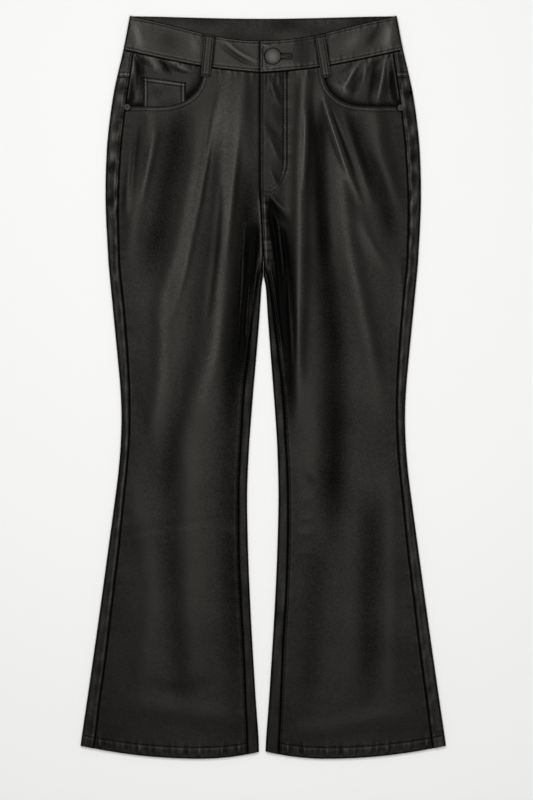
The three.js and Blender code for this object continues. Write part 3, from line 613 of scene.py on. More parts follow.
# Backs of the legs
# Each back is cut in one piece from hem to yoke. It lies flat on the table, goes round the side and
# inside folds, and comes back over the top face to its two long seams. The hem is turned up once.
HEM_WALL, HEM_DEEP = 2.2, 15.0
INSIDE_REACH = 24.0
BACK_FOLDS = [
    # soft troughs where the back doesn't touch the table: three points (x, up), half width, rise
    (20, 880, 60, 850, 120, 840, 14, 1.2),
    (12, 800, 50, 780, 110, 790, 12, 1.4),
    (14, 740, 40, 700, 90, 670, 10, 1.6),
    (20, 700, 34, 650, 44, 580, 8, 1.5),
    (150, 760, 168, 700, 176, 620, 12, 1.2),
    (70, 640, 84, 560, 92, 470, 16, 1.1),
    (60, 455, 110, 440, 160, 448, 7, 1.1),
    (70, 420, 115, 412, 150, 425, 6, 0.8),
    (80, 380, 96, 300, 104, 200, 18, 1.0),
    (150, 330, 164, 240, 176, 140, 16, 1.1),
]


def floor_height(leg, x, up):
    """Rise of the underside in its soft troughs. They lie differently on the two legs."""
    wander = 5 * leg["sign"]
    rise = crease_rise(BACK_FOLDS, x + wander, up + 3 * wander)
    reach = inner_fold(leg, up) + INSIDE_REACH
    edges = ease(reach, reach + 14, x) * (1 - ease(form(OUTER, up) - 22, form(OUTER, up) - 6, x))
    return rise * edges * ease(30, 60, up)


def hem_wall(x, up):
    """Thickness of a leg's wall, doubled where the hem is turned up."""
    return mix(HEM_WALL, LEATHER, ease(HEM_DEEP - 2, HEM_DEEP, up - hem_up(x)))


def inside_path(leg, up):
    """The way of a back from the inside leg seam over the inside fold to the floor."""
    inner = float(inner_fold(leg, up))
    round_ = float(inner_round(leg, up))
    centre = inner + round_
    seam_x = max(float(form(INSEAM, up)) - HALF_GAP, inner) if up < CROTCH_UP else inner
    count = 16
    xs, zs = [], []
    if seam_x > centre:
        run = np.linspace(seam_x, centre, count, endpoint=False)
        xs.append(run)
        zs.append(top_height(leg, run, np.full(count, up)))
        start = math.pi / 2
    else:
        slip = 0.2 * float(ease(CROTCH_UP - 6, CROTCH_UP, up))
        start = math.acos((seam_x - centre) / round_) + slip
    strip = len(xs) * count
    tall = round_ * (1 - float(ease(CROTCH_UP, CROTCH_UP + 17, up)))
    angle = np.linspace(start, 1.5 * math.pi, count + 1)
    rise = np.where(angle > math.pi, tall, round_)
    xs.append(centre + round_ * np.cos(angle))
    zs.append(rise + rise * np.sin(angle))
    xs.append([inner + INSIDE_REACH])
    zs.append([0.0])
    xs, zs = np.concatenate(xs), np.concatenate(zs)
    length = np.concatenate([[0], np.cumsum(np.hypot(np.diff(xs), np.diff(zs)))])
    return xs, zs, length, (0.0, length[strip], length[strip + count], length[-1])


INSIDE_STEPS = {"strip": 12, "fold": 10, "floor": 5}
INSIDE_SHARES = [
    np.array([0, 0.02, 0.05, 0.09, 0.14, 0.2, 0.3, 0.42, 0.55, 0.7, 0.85, 0.95, 1.0]),
    np.linspace(0, 1, INSIDE_STEPS["fold"] + 1),
    np.linspace(0, 1, INSIDE_STEPS["floor"] + 1),
]


LEG_FROM, LEG_TO, LEG_COUNT = 36, 645, 118
INSIDE_UPS = np.concatenate([
    np.arange(0, LEG_FROM, 4.0), np.linspace(LEG_FROM, LEG_TO, LEG_COUNT), np.arange(648, 716, 1.0),
    np.linspace(716, 960, 62),
])


def inside_rows(leg):
    """Points of a back from its inside leg seam to the floor, one row for each of INSIDE_UPS."""
    count = sum(INSIDE_STEPS.values())
    rows = []
    for up in INSIDE_UPS:
        xs, zs, length, marks = inside_path(leg, up)
        marked = [mix(marks[zone], marks[zone + 1], INSIDE_SHARES[zone][:-1]) for zone in range(3)]
        even = marks[3] * np.arange(count) / count
        at = mix(np.concatenate(marked), even, float(ease(650, FORK_UP, up)))
        rows.append((np.interp(at, length, xs), np.interp(at, length, zs)))
    return np.array(rows)


def side_strip(leg, zone, share, up, spec):
    """Points of a piece that goes round the side: along the floor, up the fold or back over the top."""
    under = spec["under"](up)
    outer = form(OUTER, up)
    round_ = (spec["height"](leg, outer - 3, up) - under) / 2
    if zone == "floor":
        x = mix(spec["start"](up), outer - round_, share)
        return x, under + spec["floor"](leg, x, up)
    if zone == "fold":
        angle = mix(-math.pi / 2, math.pi / 2, share)
        return outer - round_ + round_ * np.cos(angle), under + round_ + round_ * np.sin(angle)
    x = mix(outer - round_, spec["end"](up), share)
    return x, spec["height"](leg, x, up) + spec["seam"](leg, x, up)


def side_zones(floor, fold, top):
    """Columns of a piece round the side, each with its zone and its share of the way across that."""
    zones = [("floor", share) for share in floor]
    zones += [("fold", share) for share in np.linspace(0, 1, fold + 1)[1:]]
    return zones + [("top", share) for share in top[1:]]


def curve_height(leg, zone, share, spec, curve):
    """Height at which one column of a piece round the side meets a waist curve."""
    side = WAIST[-1, curve]
    if zone == "fold" or (zone == "top" and curve == YOKE_SEAM):
        return side
    up = side
    for _ in range(6):
        up = float(curve_up(curve, side_strip(leg, zone, share, up, spec)[0]))
    return up


TOP_SHARES = 1 - np.array([1, 0.9, 0.78, 0.66, 0.54, 0.43, 0.33, 0.24, 0.17, 0.11, 0.06, 0.03, 0.012, 0.0])
FLOOR_SHARES = np.linspace(0, 1, 37)


HEM_STEPS = np.array([
    0, 0.3, 0.7, 1.2, 2.0, 3.2, 5.0, 7.5, 10, 12, 13.2, 14.2, 15, 15.8, 17, 19, 22, 26, 31,
])
HIP_FROM = 760
LEG_UPS = np.concatenate([
    np.linspace(LEG_FROM, LEG_TO, LEG_COUNT), np.arange(648, 716, 2.0), np.linspace(719, HIP_FROM, 12),
])


def leg_rows(low, top, hip_count):
    """Heights of the grid's rows in one column, close together at the hem, crotch and top seam."""
    edge = [top - step for step in reversed(EDGE_STEPS)]
    hip = np.concatenate([np.linspace(HIP_FROM, edge[0], hip_count)[1:-1], edge])
    return np.concatenate([low + HEM_STEPS, LEG_UPS + low * (1 - ease(LEG_FROM, 150, LEG_UPS)), hip])


BACK_TONE = 0.46


def back_of_leg(leg):
    spec = {
        "height": drape,
        "floor": floor_height,
        "under": lambda up: 0.0 * up,
        "start": lambda up: inner_fold(leg, up) + INSIDE_REACH,
        "end": lambda up: form(OUTSEAM, up) + HALF_GAP,
        "seam": strip_detail,
    }
    inside = sum(INSIDE_STEPS.values())
    inner_rows = inside_rows(leg)
    zones = side_zones(FLOOR_SHARES, 10, TOP_SHARES)
    columns = []
    for column in range(inside):
        low_x = np.interp(12.0, INSIDE_UPS, inner_rows[:, 0, column])
        top = float(curve_up(YOKE_SEAM, INSIDE_REACH * column / inside)) - HALF_GAP
        ups = leg_rows(float(hem_up(low_x)), top, 56)
        x, z = (np.interp(ups, INSIDE_UPS, inner_rows[:, axis, column]) for axis in range(2))
        if column < INSIDE_STEPS["strip"]:
            distance = np.maximum(form(INSEAM, ups) - HALF_GAP - x, 0)
            z = z + seam_roll(distance) * (1 - ease(660, 690, ups))
            z = z + (drape(leg, x, ups) - top_height(leg, x, ups)) * (1 - ease(640, 670, ups))
        columns.append(np.stack([x, ups, np.maximum(z, 0)], -1))
    for zone, share in zones:
        low_x = float(side_strip(leg, zone, share, 12.0, spec)[0])
        top = curve_height(leg, zone, share, spec, YOKE_SEAM) - HALF_GAP
        ups = leg_rows(float(hem_up(low_x)), top, 56)
        x, z = side_strip(leg, zone, share, ups, spec)
        columns.append(np.stack([x, ups, np.maximum(z, 0)], -1))
    outer = np.stack(columns, 1)
    x, up = outer[..., 0].copy(), outer[..., 1]
    lift = outer[..., 2]
    on_top = lift > 3
    at_side = x > (form(OUTSEAM, up) - 5)
    inside = np.maximum(form(INSEAM, up) - x, 0)
    # painted shade over the inner strip, more from the knee up and darkest at the inside leg seam, with
    # uneven streaks; painted shade along the side seam's lines and where the underside lifts off the table
    streaks = 0.07 * ripple(leg["sign"] * 9 * x, up, 90, 23) - 0.10 - 0.08 * ease(420, 560, up)
    inner_strip = (streaks - 0.5 * np.exp(-(inside / 1.9) ** 2)) * (up < CROTCH_UP)
    near = np.where(at_side, painted_line_shade(strip_lines(x, up)), inner_strip)
    troughs = -0.14 * lift * (lift < 2.5)
    tone_and_painted_light = BACK_TONE + 0.04 * ripple(leg["sign"] * x, up, 40, 8) + troughs
    # painted highlight on the puffs of the strip beside the side seam
    tone_and_painted_light = tone_and_painted_light + (near + 0.42 * strip_puffs(leg, x, up) * at_side) * on_top
    thick = hem_wall(x, up)
    outer[..., 0] *= leg["sign"]
    return cut_leather(f"back_{leg['name']}", outer, thick, body_leather, tone_and_painted_light)


SIDE_ROW = 2.6


def strip_lines(x, up):
    distance = x - form(OUTSEAM, up) - HALF_GAP
    hip_row = (ROW, distance - SIDE_ROW, ease(774, 790, up))
    return [(EDGE, distance, 1), hip_row, (ROW, up - hem_up(x) - HEM_DEEP, 1)]


def strip_detail(leg, x, up):
    """The strip of back beside the side seam: rolled edge, the topstitch down to the hip, the hem."""
    distance = x - form(OUTSEAM, up) - HALF_GAP
    plump = 0.4 * np.exp(-((distance - 4.5) / 3.0) ** 2)
    return relief(strip_lines(x, up)) + plump + strip_puffs(leg, x, up)


def strip_puffs(leg, x, up):
    """Puffs of the strip beside the side seam, strongest at the hip."""
    distance = x - form(OUTSEAM, up) - HALF_GAP
    strength = 0.35 + 0.65 * ease(620, 800, up)
    uneven = 0.55 * ripple(leg["sign"] * 1.7 * x, up, 30, 19)
    return strength * (pucker(distance - 3, up, 18, 0.2, 6) + uneven)


backs = {}
for name, leg in LEGS.items():
    backs[name] = back_of_leg(leg)
    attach(backs[name], "root")
    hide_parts(f"back_leg_{name}")


# Fronts of the legs
# Each front is one piece from hem to waistband with a scooped pocket mouth. The left front laps over
# the right one down to the foot of the fly and carries the curved double row that holds the shield.
SCOOP = {"start_x": 84.0, "level_x": 150.0, "level_up": 912.8, "power": 2.4}
MOUTH_ROWS = (2.0, 6.6)
FLY_EDGE_ROWS = (3.3, 7.0)
FLY_ROWS = [
    # the rows of the J: middle x, middle up, reach across, reach down
    (3.85, 835.0, 24.5, 38.0),
    (3.85, 838.0, 29.4, 46.4),
]


def round_distance(x, up, middle, reach, power):
    """Distance outside a rounded corner with its middle and reach given as (x, up)."""
    u = np.maximum(x / reach[0] - middle[0] / reach[0], 1e-6)
    v = np.maximum((middle[1] - up) / reach[1], 1e-6)
    size = (u ** power + v ** power) ** (1 / power)
    slope = size ** (1 - power) * np.hypot(u ** (power - 1) / reach[0], v ** (power - 1) / reach[1])
    return (size - 1) / slope


def scoop_distance(x, up):
    start_up = curve_up(FRONT_SEAM, SCOOP["start_x"])
    reach = (SCOOP["level_x"] - SCOOP["start_x"], float(start_up) - SCOOP["level_up"])
    middle = (-SCOOP["level_x"], float(start_up))
    return round_distance(-x, up, middle, reach, SCOOP["power"])


def front_base(leg, x, up):
    """Height of a front without its seams: the left one steps up where it laps over the right."""
    lift = (LEATHER + 2 * HALF_GAP) * ease(755, 785, up) if leg["laps"] else 0.0
    return drape(leg, x, up) + lift * (1 - ease(10, 34, x))


def front_lines(leg, x, up):
    side = form(OUTSEAM, up) - HALF_GAP - x
    inner = x - front_inner_edge(leg, up)
    mouth = scoop_distance(x, up)
    band = curve_up(FRONT_SEAM, x) - HALF_GAP - up
    hem = up - hem_up(x)
    below = 1 - ease(CROTCH_UP - 3, CROTCH_UP + 3, up)
    near_mouth = np.exp(-(np.maximum(mouth, 0) / 14) ** 4)
    lines = [
        (EDGE, side, 1), (EDGE, hem, 1), (EDGE, mouth, near_mouth), (EDGE, inner, 1),
        (EDGE, band, x < SCOOP["start_x"] + 2), (ROW, inner - 2.2, below), (ROW, hem - HEM_DEEP, 1),
        *((ROW, mouth - inset, near_mouth) for inset in MOUTH_ROWS),
    ]
    if leg["laps"]:
        lines.append((ROW, inner - FLY_EDGE_ROWS[0], 1 - below))
        lines.append((ROW, inner - FLY_EDGE_ROWS[1], (1 - below) * (1 - ease(786, 796, up))))
        lines += [(ROW, away, on) for away, on in fly_lines(x, up)]
    return lines


def fly_lines(x, up):
    """Distance from each row of the J, and how far it applies."""
    return [
        (
            round_distance(x, up, (middle_x, middle_up), (across, down), 2),
            ease(middle_x - 4, middle_x + 1, x),
        )
        for middle_x, middle_up, across, down in FLY_ROWS
    ]


def front_puffs(leg, x, up):
    """What the stitch rows gather along the seams, the hem, the waistband and the fly."""
    side = form(OUTSEAM, up) - x
    inner = x - front_inner_edge(leg, up)
    band = curve_up(FRONT_SEAM, x) - up
    hem = up - hem_up(x)
    below = 1 - ease(CROTCH_UP - 3, CROTCH_UP + 3, up)
    puffs = pucker(side, up, 11, 0.09, 9) + pucker(inner, up, 12, 0.09, 8) * below
    puffs = puffs + pucker(hem - 9, x, 13, 0.34, 8) * ease(0, 6, hem) + pucker(band, x, 14, 0.22, 12)
    if leg["laps"]:
        puffs = puffs + pucker(inner - 5, up, 15, 0.45, 7) * (1 - below) * (1 - ease(786, 800, up))
        for away, on in fly_lines(x, up):
            puffs = puffs + pucker(away - 2, up, 16, 0.1, 6) * on
    return puffs


def front_detail(leg, x, up):
    return relief(front_lines(leg, x, up)) + front_puffs(leg, x, up)


RIVETS = {"right": (190.2, 911.3), "left": (192.2, 910.6)}
RIVET_REACH = 4.6


def front_tone_and_painted_light(leg, x, up):
    """Painted light of a front: painted shade in its lines, painted shadow under the fly's edge and round the
    rivet, and a painted highlight on its puffs.
    """
    shade = painted_line_shade(front_lines(leg, x, up))
    if not leg["laps"]:
        under_fly = x + fly_edge(up)
        shade = shade - 0.35 * np.exp(-(under_fly / 2.4) ** 2) * ease(700, 760, up)
    rivet_x, rivet_up = RIVETS[leg["name"]]
    rivet = np.hypot(x - rivet_x, up - rivet_up) - RIVET_REACH
    shade = shade - 0.45 * np.exp(-(rivet / 1.3) ** 2)
    # the double-stitched seam from the crotch to the fly stands proud, with a painted highlight along it
    along = ease(690, 705, up) * (1 - ease(770, 792, up))
    proud = np.exp(-((x - front_inner_edge(leg, up) - (5 if leg["laps"] else 1.5)) / 2.2) ** 2)
    return drape_tone_and_painted_light(leg, x, up) + shade + 0.4 * front_puffs(leg, x, up) + 0.42 * along * proud


FRONT_SHARES = graded(0, 200, 1.5) / 200
FLY_SHARES = np.linspace(0.140, 0.186, 20)
SCOOP_FROM, LEVEL_FROM = 0.41, 0.82


def front_top_edge(leg, share):
    """Where a column of the front ends: on the waistband seam, round the scoop or level beside it."""
    if share <= SCOOP_FROM:
        x = mix(float(front_inner_edge(leg, 960)), SCOOP["start_x"], share / SCOOP_FROM)
        return x, float(curve_up(FRONT_SEAM, x)) - HALF_GAP
    if share <= LEVEL_FROM:
        angle = (share - SCOOP_FROM) / (LEVEL_FROM - SCOOP_FROM) * math.pi / 2
        start_up = float(curve_up(FRONT_SEAM, SCOOP["start_x"]))
        across = (SCOOP["level_x"] - SCOOP["start_x"]) * math.cos(angle) ** (2 / SCOOP["power"])
        down = (start_up - SCOOP["level_up"]) * math.sin(angle) ** (2 / SCOOP["power"])
        return SCOOP["level_x"] - across, start_up - down - HALF_GAP
    mouth_x = float(form(OUTSEAM, SCOOP["level_up"])) - HALF_GAP
    side_share = (share - LEVEL_FROM) / (1 - LEVEL_FROM)
    return mix(SCOOP["level_x"], mouth_x, side_share), SCOOP["level_up"] - HALF_GAP


def laid_piece(name, leg, x, up, base, detail, thick, material, tone_and_painted_light, inside=0.3):
    """A closed wall whose outer face is a height above the table, given by base and detail."""
    step = 0.05
    slope_x = (base(leg, x + step, up) - base(leg, x - step, up)) / (2 * step)
    slope_up = (base(leg, x, up + step) - base(leg, x, up - step)) / (2 * step)
    out = np.stack([-slope_x * leg["sign"], -slope_up, np.ones(x.shape)], -1)
    out /= np.linalg.norm(out, axis=-1, keepdims=True)
    outer = leg_points(leg, x, up, base(leg, x, up) + detail(leg, x, up))
    return closed_wall(name, outer, out, thick, material, tone_and_painted_light, inside)


def front_of_leg(leg):
    columns = []
    for share in np.union1d(FRONT_SHARES, FLY_SHARES if leg["laps"] else []):
        top_x, top = front_top_edge(leg, share)
        edge = float(front_inner_edge(leg, top))
        top_share = (top_x - edge) / (float(form(OUTSEAM, top)) - HALF_GAP - edge)
        hem_x = mix(float(form(INSEAM, 0)), float(form(OUTSEAM, 0)), share)
        ups = leg_rows(float(hem_up(hem_x)), top, 66)
        across = mix(share, top_share, ease(640, 860, ups))
        x = mix(front_inner_edge(leg, ups), form(OUTSEAM, ups) - HALF_GAP, across)
        columns.append(np.stack([x, ups], -1))
    x, up = np.moveaxis(np.stack(columns, 1), -1, 0)
    return laid_piece(
        f"front_{leg['name']}", leg, x, up, front_base, front_detail, hem_wall(x, up), body_leather,
        front_tone_and_painted_light(leg, x, up),
    )


fronts = {}
for name, leg in LEGS.items():
    fronts[name] = front_of_leg(leg)
    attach(fronts[name], "root")
    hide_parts(f"front_leg_{name}")


# Yokes
# A shaped piece between each back and the waistband. It goes round the side fold, so its end shows
# on the top face beside the pocket, where its seam to the back is stitched twice.
BAND_UNDER = 2.0
YOKE_ROWS = (2.4, 7.8)


def under_height(up):
    return BAND_UNDER * ease(944, 966, up)


def side_piece(name, leg, spec, inside):
    """A piece round the side between two waist curves. spec's low and high each give the curve on the
    top face, the one on the underside and the gap kept from it."""
    columns, shades = [], []
    for zone, share in side_zones(*spec["columns"]):
        place = 0 if zone == "top" else 1
        start = curve_height(leg, zone, share, spec, spec["low"][place]) + spec["low"][2]
        end = curve_height(leg, zone, share, spec, spec["high"][place]) - spec["high"][2]
        up = mix(start, end, spec["rows"])
        x, z = side_strip(leg, zone, share, up, spec)
        lines = spec["lines"](up - start, end - up)
        facing = {"floor": -1.0, "fold": 0.0, "top": 1.0}[zone]
        z = np.maximum(z + facing * (relief(lines) + spec["puffs"](x, up - start, end - up)), 0)
        columns.append(np.stack([x, up, z], -1))
        # painted shade along its lines, and more painted light and shade on its top face
        shades.append(spec["tone_and_painted_light"] + painted_line_shade(lines) + (spec["shade"](leg, x, up) if zone == "top" else 0))
    outer = np.stack(columns, 1)
    outer[..., 0] *= leg["sign"]
    inside = inside + 0.09 * ripple(outer[..., 0], 2 * outer[..., 1], 70, 9)
    return cut_leather(name, outer, spec["thick"], body_leather, np.stack(shades, 1), inside)


def yoke_shade(leg, x, up):
    """Painted shade along the lines of the strip beside the side seam, and a painted highlight on the yoke's
    end.
    """
    return painted_line_shade(strip_lines(x, up)) + 0.2 * np.exp(-((up - 957.4) / 1.9) ** 2)


YOKE = {
    "height": drape,
    "under": under_height,
    "floor": lambda leg, x, up: 0.0,
    "start": lambda up: HALF_GAP + 0 * up,
    "end": lambda up: form(OUTSEAM, up) + HALF_GAP,
    "seam": strip_detail,
    "lines": lambda low, high: [(EDGE, low, 1), *((ROW, low - row, 1) for row in YOKE_ROWS), (EDGE, high, 1)],
    "puffs": lambda x, low, high: pucker(low - 5, x, 21, 0.4, 6),
    "shade": yoke_shade,
    "thick": LEATHER,
    "tone_and_painted_light": 0.5,
    "columns": (np.linspace(0, 1, 70), 10, TOP_SHARES),
    "rows": graded(0, 60, 1.9) / 60,
    "low": (YOKE_SEAM, YOKE_SEAM, HALF_GAP),
    "high": (FRONT_SEAM, BACK_SEAM, HALF_GAP),
}
yokes = {}
for name, leg in LEGS.items():
    yokes[name] = side_piece(f"yoke_{name}_leather", leg, YOKE, 0.3)
    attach(yokes[name], "root")
    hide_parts(f"yoke_{name}")


# Pocket facings and coin pocket
# Behind each scooped mouth lies a facing of the same leather, a layer lower, with soft dents where
# the pocket bag pulls. The right one carries a small coin pocket, stitched twice along three sides.
SCOOP_UP = SCOOP["level_up"]
FACING = {"from_x": 70.0, "from_up": 898.0, "rise": 14.0, "tuck": 6.0, "band_rise": 16.0}
COIN = {"inner_x": 108.1, "outer_x": 168.5, "top_inner": 946.3, "top_outer": 954.0, "foot": 904.0}
FACING_CREASES = {
    # three points (x, up), half width, rise
    "right": [
        (183, 985, 180, 950, 178, 920, 3.2, 1.3),
        (173, 985, 171, 955, 169, 925, 4, -1.0),
        (162, 988, 155, 974, 146, 962, 6, 1.1),
        (141, 982, 138, 968, 131, 957, 3, -1.0),
        (131, 984, 122, 972, 104, 962, 4, 1.2),
        (96, 955, 104, 930, 120, 915, 5, -0.5),
    ],
    "left": [
        (172, 985, 166, 950, 160, 918, 3.4, 1.4),
        (159, 980, 155, 950, 150, 920, 4, -1.0),
        (150, 985, 143, 965, 138, 945, 4, 0.8),
        (134, 972, 122, 955, 112, 932, 3.6, 1.3),
        (138, 960, 130, 942, 124, 922, 5, -0.7),
        (184, 975, 178, 950, 172, 920, 4, -0.7),
        (96, 948, 112, 938, 128, 930, 5, 0.6),
    ],
}


def facing_base(leg, x, up):
    """Height of a facing: low behind the mouth, up to the top face at the side and the waistband."""
    side_x = form(OUTSEAM, up)
    seam_up = curve_up(FRONT_SEAM, x)
    side = ease(side_x - FACING["rise"], side_x - 1, x) * ease(SCOOP_UP, SCOOP_UP + 12, up)
    band = ease(seam_up - FACING["band_rise"], seam_up - 1, up) * ease(92, 118, x)
    low = 2 * LEATHER + 0.5 + under_height(up)
    creases = crease_rise(FACING_CREASES[leg["name"]], x, up) * ease(SCOOP_UP + 2, SCOOP_UP + 12, up)
    clear = 1 - np.maximum(side, band)
    if leg["name"] == "right":
        clear = clear * (0.25 + 0.75 * ease(COIN["top_inner"] + 6, COIN["top_inner"] + 18, up))
    return mix(low, drape(leg, x, up), np.maximum(side, band)) + creases * clear


def facing_lines(x, up):
    side = form(OUTSEAM, up) - HALF_GAP - x
    band = curve_up(FRONT_SEAM, x) - HALF_GAP - up
    return [(EDGE, side, ease(SCOOP_UP, SCOOP_UP + 4, up)), (EDGE, band, 1)]


def facing_detail(leg, x, up):
    return relief(facing_lines(x, up)) + pucker(curve_up(FRONT_SEAM, x) - up, x, 31, 0.3, 9)


def facing_painted_light(leg, x, up):
    """Duller than the fronts, with painted shade along its edges, painted light and shade on its creases, and
    a painted shadow close under the pocket mouth.
    """
    mouth = np.maximum(-scoop_distance(x, up), 0)
    shade = painted_line_shade(facing_lines(x, up)) - 0.4 * np.exp(-(mouth / 7.0) ** 1.6)
    return 0.44 + 0.30 * crease_rise(FACING_CREASES[leg["name"]], x, up) + shade


def pocket_facing(leg):
    columns = []
    for share in graded(0, 120, 1.9, fine_start=False) / 120:
        top = float(WAIST[-1, FRONT_SEAM])
        for _ in range(6):
            reach = mix(FACING["from_x"], float(form(OUTSEAM, top)) - HALF_GAP, share)
            top = float(curve_up(FRONT_SEAM, reach))
        up = mix(FACING["from_up"], top - HALF_GAP, graded(0, 80, 1.7, fine_start=False) / 80)
        tuck = FACING["tuck"] * (1 - ease(SCOOP_UP - 5, SCOOP_UP + 3, up))
        x = mix(FACING["from_x"], form(OUTSEAM, up) - HALF_GAP - tuck, share)
        columns.append(np.stack([x, up], -1))
    x, up = np.moveaxis(np.stack(columns, 1), -1, 0)
    return laid_piece(
        f"pocket_facing_{leg['name']}_leather", leg, x, up, facing_base, facing_detail, LEATHER,
        pocket_leather, facing_painted_light(leg, x, up),
    )


# the same coated leather, a touch darker and smoother
pocket_leather = grained_leather("pocket_coated_leather", "#040404", "#0e0d0d", "#2b2a28", 0.26)
facings = {}
for name, leg in LEGS.items():
    facings[name] = pocket_facing(leg)
    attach(facings[name], "root")
    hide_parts(f"pocket_facing_{name}")


def coin_base(leg, x, up):
    return facing_base(leg, x, up) + 2 * HALF_GAP + LEATHER


COIN_ROWS = (1.6, 6.2)


def coin_top(x):
    share = (x - COIN["inner_x"]) / (COIN["outer_x"] - COIN["inner_x"])
    return mix(COIN["top_inner"], COIN["top_outer"], share)


def coin_edges(x, up):
    return x - COIN["inner_x"], COIN["outer_x"] - x, coin_top(x) - up


def coin_lines(x, up):
    lines = []
    for edge in coin_edges(x, up):
        lines += [(EDGE, edge, 1), *((ROW, edge - inset, 1) for inset in COIN_ROWS)]
    return lines


def coin_band(x, up):
    """A painted highlight on the turned edge between its two rows of stitches, and painted shade along the
    inner row.
    """
    edge = np.minimum.reduce(np.broadcast_arrays(*coin_edges(x, up)))
    return 0.16 * np.exp(-((edge - 3.9) / 1.5) ** 2) - 0.10 * np.exp(-((edge - 6.6) / 0.9) ** 2)


def coin_detail(leg, x, up):
    return relief(coin_lines(x, up)) + 0.12 * ripple(x, up, 17, 6)


def coin_pocket():
    share_x = graded(0, 60, 1.7) / 60
    share_up = graded(0, 48, 1.7, fine_start=False) / 48
    x = np.broadcast_to(mix(COIN["inner_x"], COIN["outer_x"], share_x), (len(share_up), len(share_x)))
    up = mix(COIN["foot"], coin_top(x), share_up[:, None])
    return laid_piece(
        "coin_pocket_leather", LEGS["right"], x, up, coin_base, coin_detail, LEATHER, pocket_leather,
        0.40 + painted_line_shade(coin_lines(x, up)) + coin_band(x, up) + 0.06 * ripple(x, up, 26, 9),
    )


coin = coin_pocket()
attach(coin, "root")
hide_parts("coin_pocket")


# Waistband
# Two halves of doubled leather, joined at the back. They go round the side folds, and in front the
# left one laps over the right, with a keyhole for the button. The row along the seam below is 4 mm
# in, which leaves a raised welt between them.
BAND = 2.2
BAND_TOP = 7.2
BAND_REACH = 34.0
WELT = 4.0
BAND_ROW = 3.4
BUTTON_AT = (13.4, 982.2)
KEYHOLE = {"eye": 2.7, "slit": 0.8, "end": 37.4}
FRONT_LOOP_AT = {"right": (78.0, -0.098), "left": (83.5, -0.163)}
BAND_CREASES = {
    "right": [
        (58, 1008, 34, 988, 8, 976, 4.0, 0.9),
        (60, 1000, 36, 981, 12, 970, 2.5, -0.6),
        (180, 1032, 176, 1012, 172, 994, 10, 1.3),
        (140, 1018, 132, 1004, 126, 986, 13, -0.5),
        (100, 1012, 96, 1000, 94, 984, 8, 0.5),
    ],
    "left": [
        (181, 1030, 178, 1012, 173, 994, 9, 1.3),
        (166, 1028, 157, 1012, 148, 1000, 5, -0.6),
        (144, 1020, 130, 1006, 116, 992, 9, 0.5),
        (-3, 1002, 3, 997, 13, 998, 2.6, 0.9),
        (-3, 966, 4, 963, 15, 966, 2.4, 0.9),
        (-2, 992, 3, 985, 5, 974, 2.2, -0.6),
        (8, 968, 30, 972, 60, 972, 4, 0.3),
    ],
}


def band_height(leg, x, up):
    """Height of the band's outer face. The left end steps up over the right one."""
    lift = (BAND + 2 * HALF_GAP) * (1 - ease(38, 74, x)) if leg["laps"] else 0.0
    return BAND_TOP + lift + crease_rise(BAND_CREASES[leg["name"]], x, up) + 0 * up


def band_lines(low, high):
    return [(EDGE, low, 1), (ROW, low - WELT, 1), (EDGE, high, 1), (ROW, high - BAND_ROW, 1)]


def band_puffs(x, low, high):
    return pucker(low - 5, x, 41, 0.16, 5) + pucker(high - 4, x, 42, 0.16, 5)


def band_seam(leg, x, up):
    """The turned edge and the stitch row at the left half's end."""
    end = x - fly_edge(up)
    return seam_roll(end, 0.5, 1.0) + groove(end - BAND_ROW, 0.26, 0.8) if leg["laps"] else 0


def band_shade(leg, x, up):
    """Painted shadow beside the belt loop, along and under the overlapping end, in the keyhole and round the
    button, and painted light and shade on the creases.
    """
    loop_x, slant = FRONT_LOOP_AT[leg["name"]]
    beside = np.abs(x - loop_x - (up - 984) * slant) - 8.3
    shade = -0.5 * np.exp(-(beside / 1.0) ** 2)
    if leg["laps"]:
        end = x - fly_edge(up)
        shade = shade + painted_line_shade([(EDGE, end, 1), (ROW, end - BAND_ROW, 1)])
        hole = np.hypot(np.maximum(np.abs(x - 30) - 7, 0), up - BUTTON_AT[1]) - 3.6
        ring = np.hypot(x - BUTTON_AT[0], up - BUTTON_AT[1]) - 10.5
        shade = shade - 0.5 * np.exp(-(hole / 0.9) ** 2) - 0.6 * np.exp(-(np.maximum(ring, 0) / 1.4) ** 2)
    else:
        shade = shade - 0.5 * np.exp(-((x + fly_edge(up)) / 2.6) ** 2)
    return shade + 0.30 * crease_rise(BAND_CREASES[leg["name"]], x, up)


def band_end(leg):
    return (lambda up: fly_edge(up) + HALF_GAP) if leg["laps"] else (lambda up: -BAND_REACH + 0 * up)


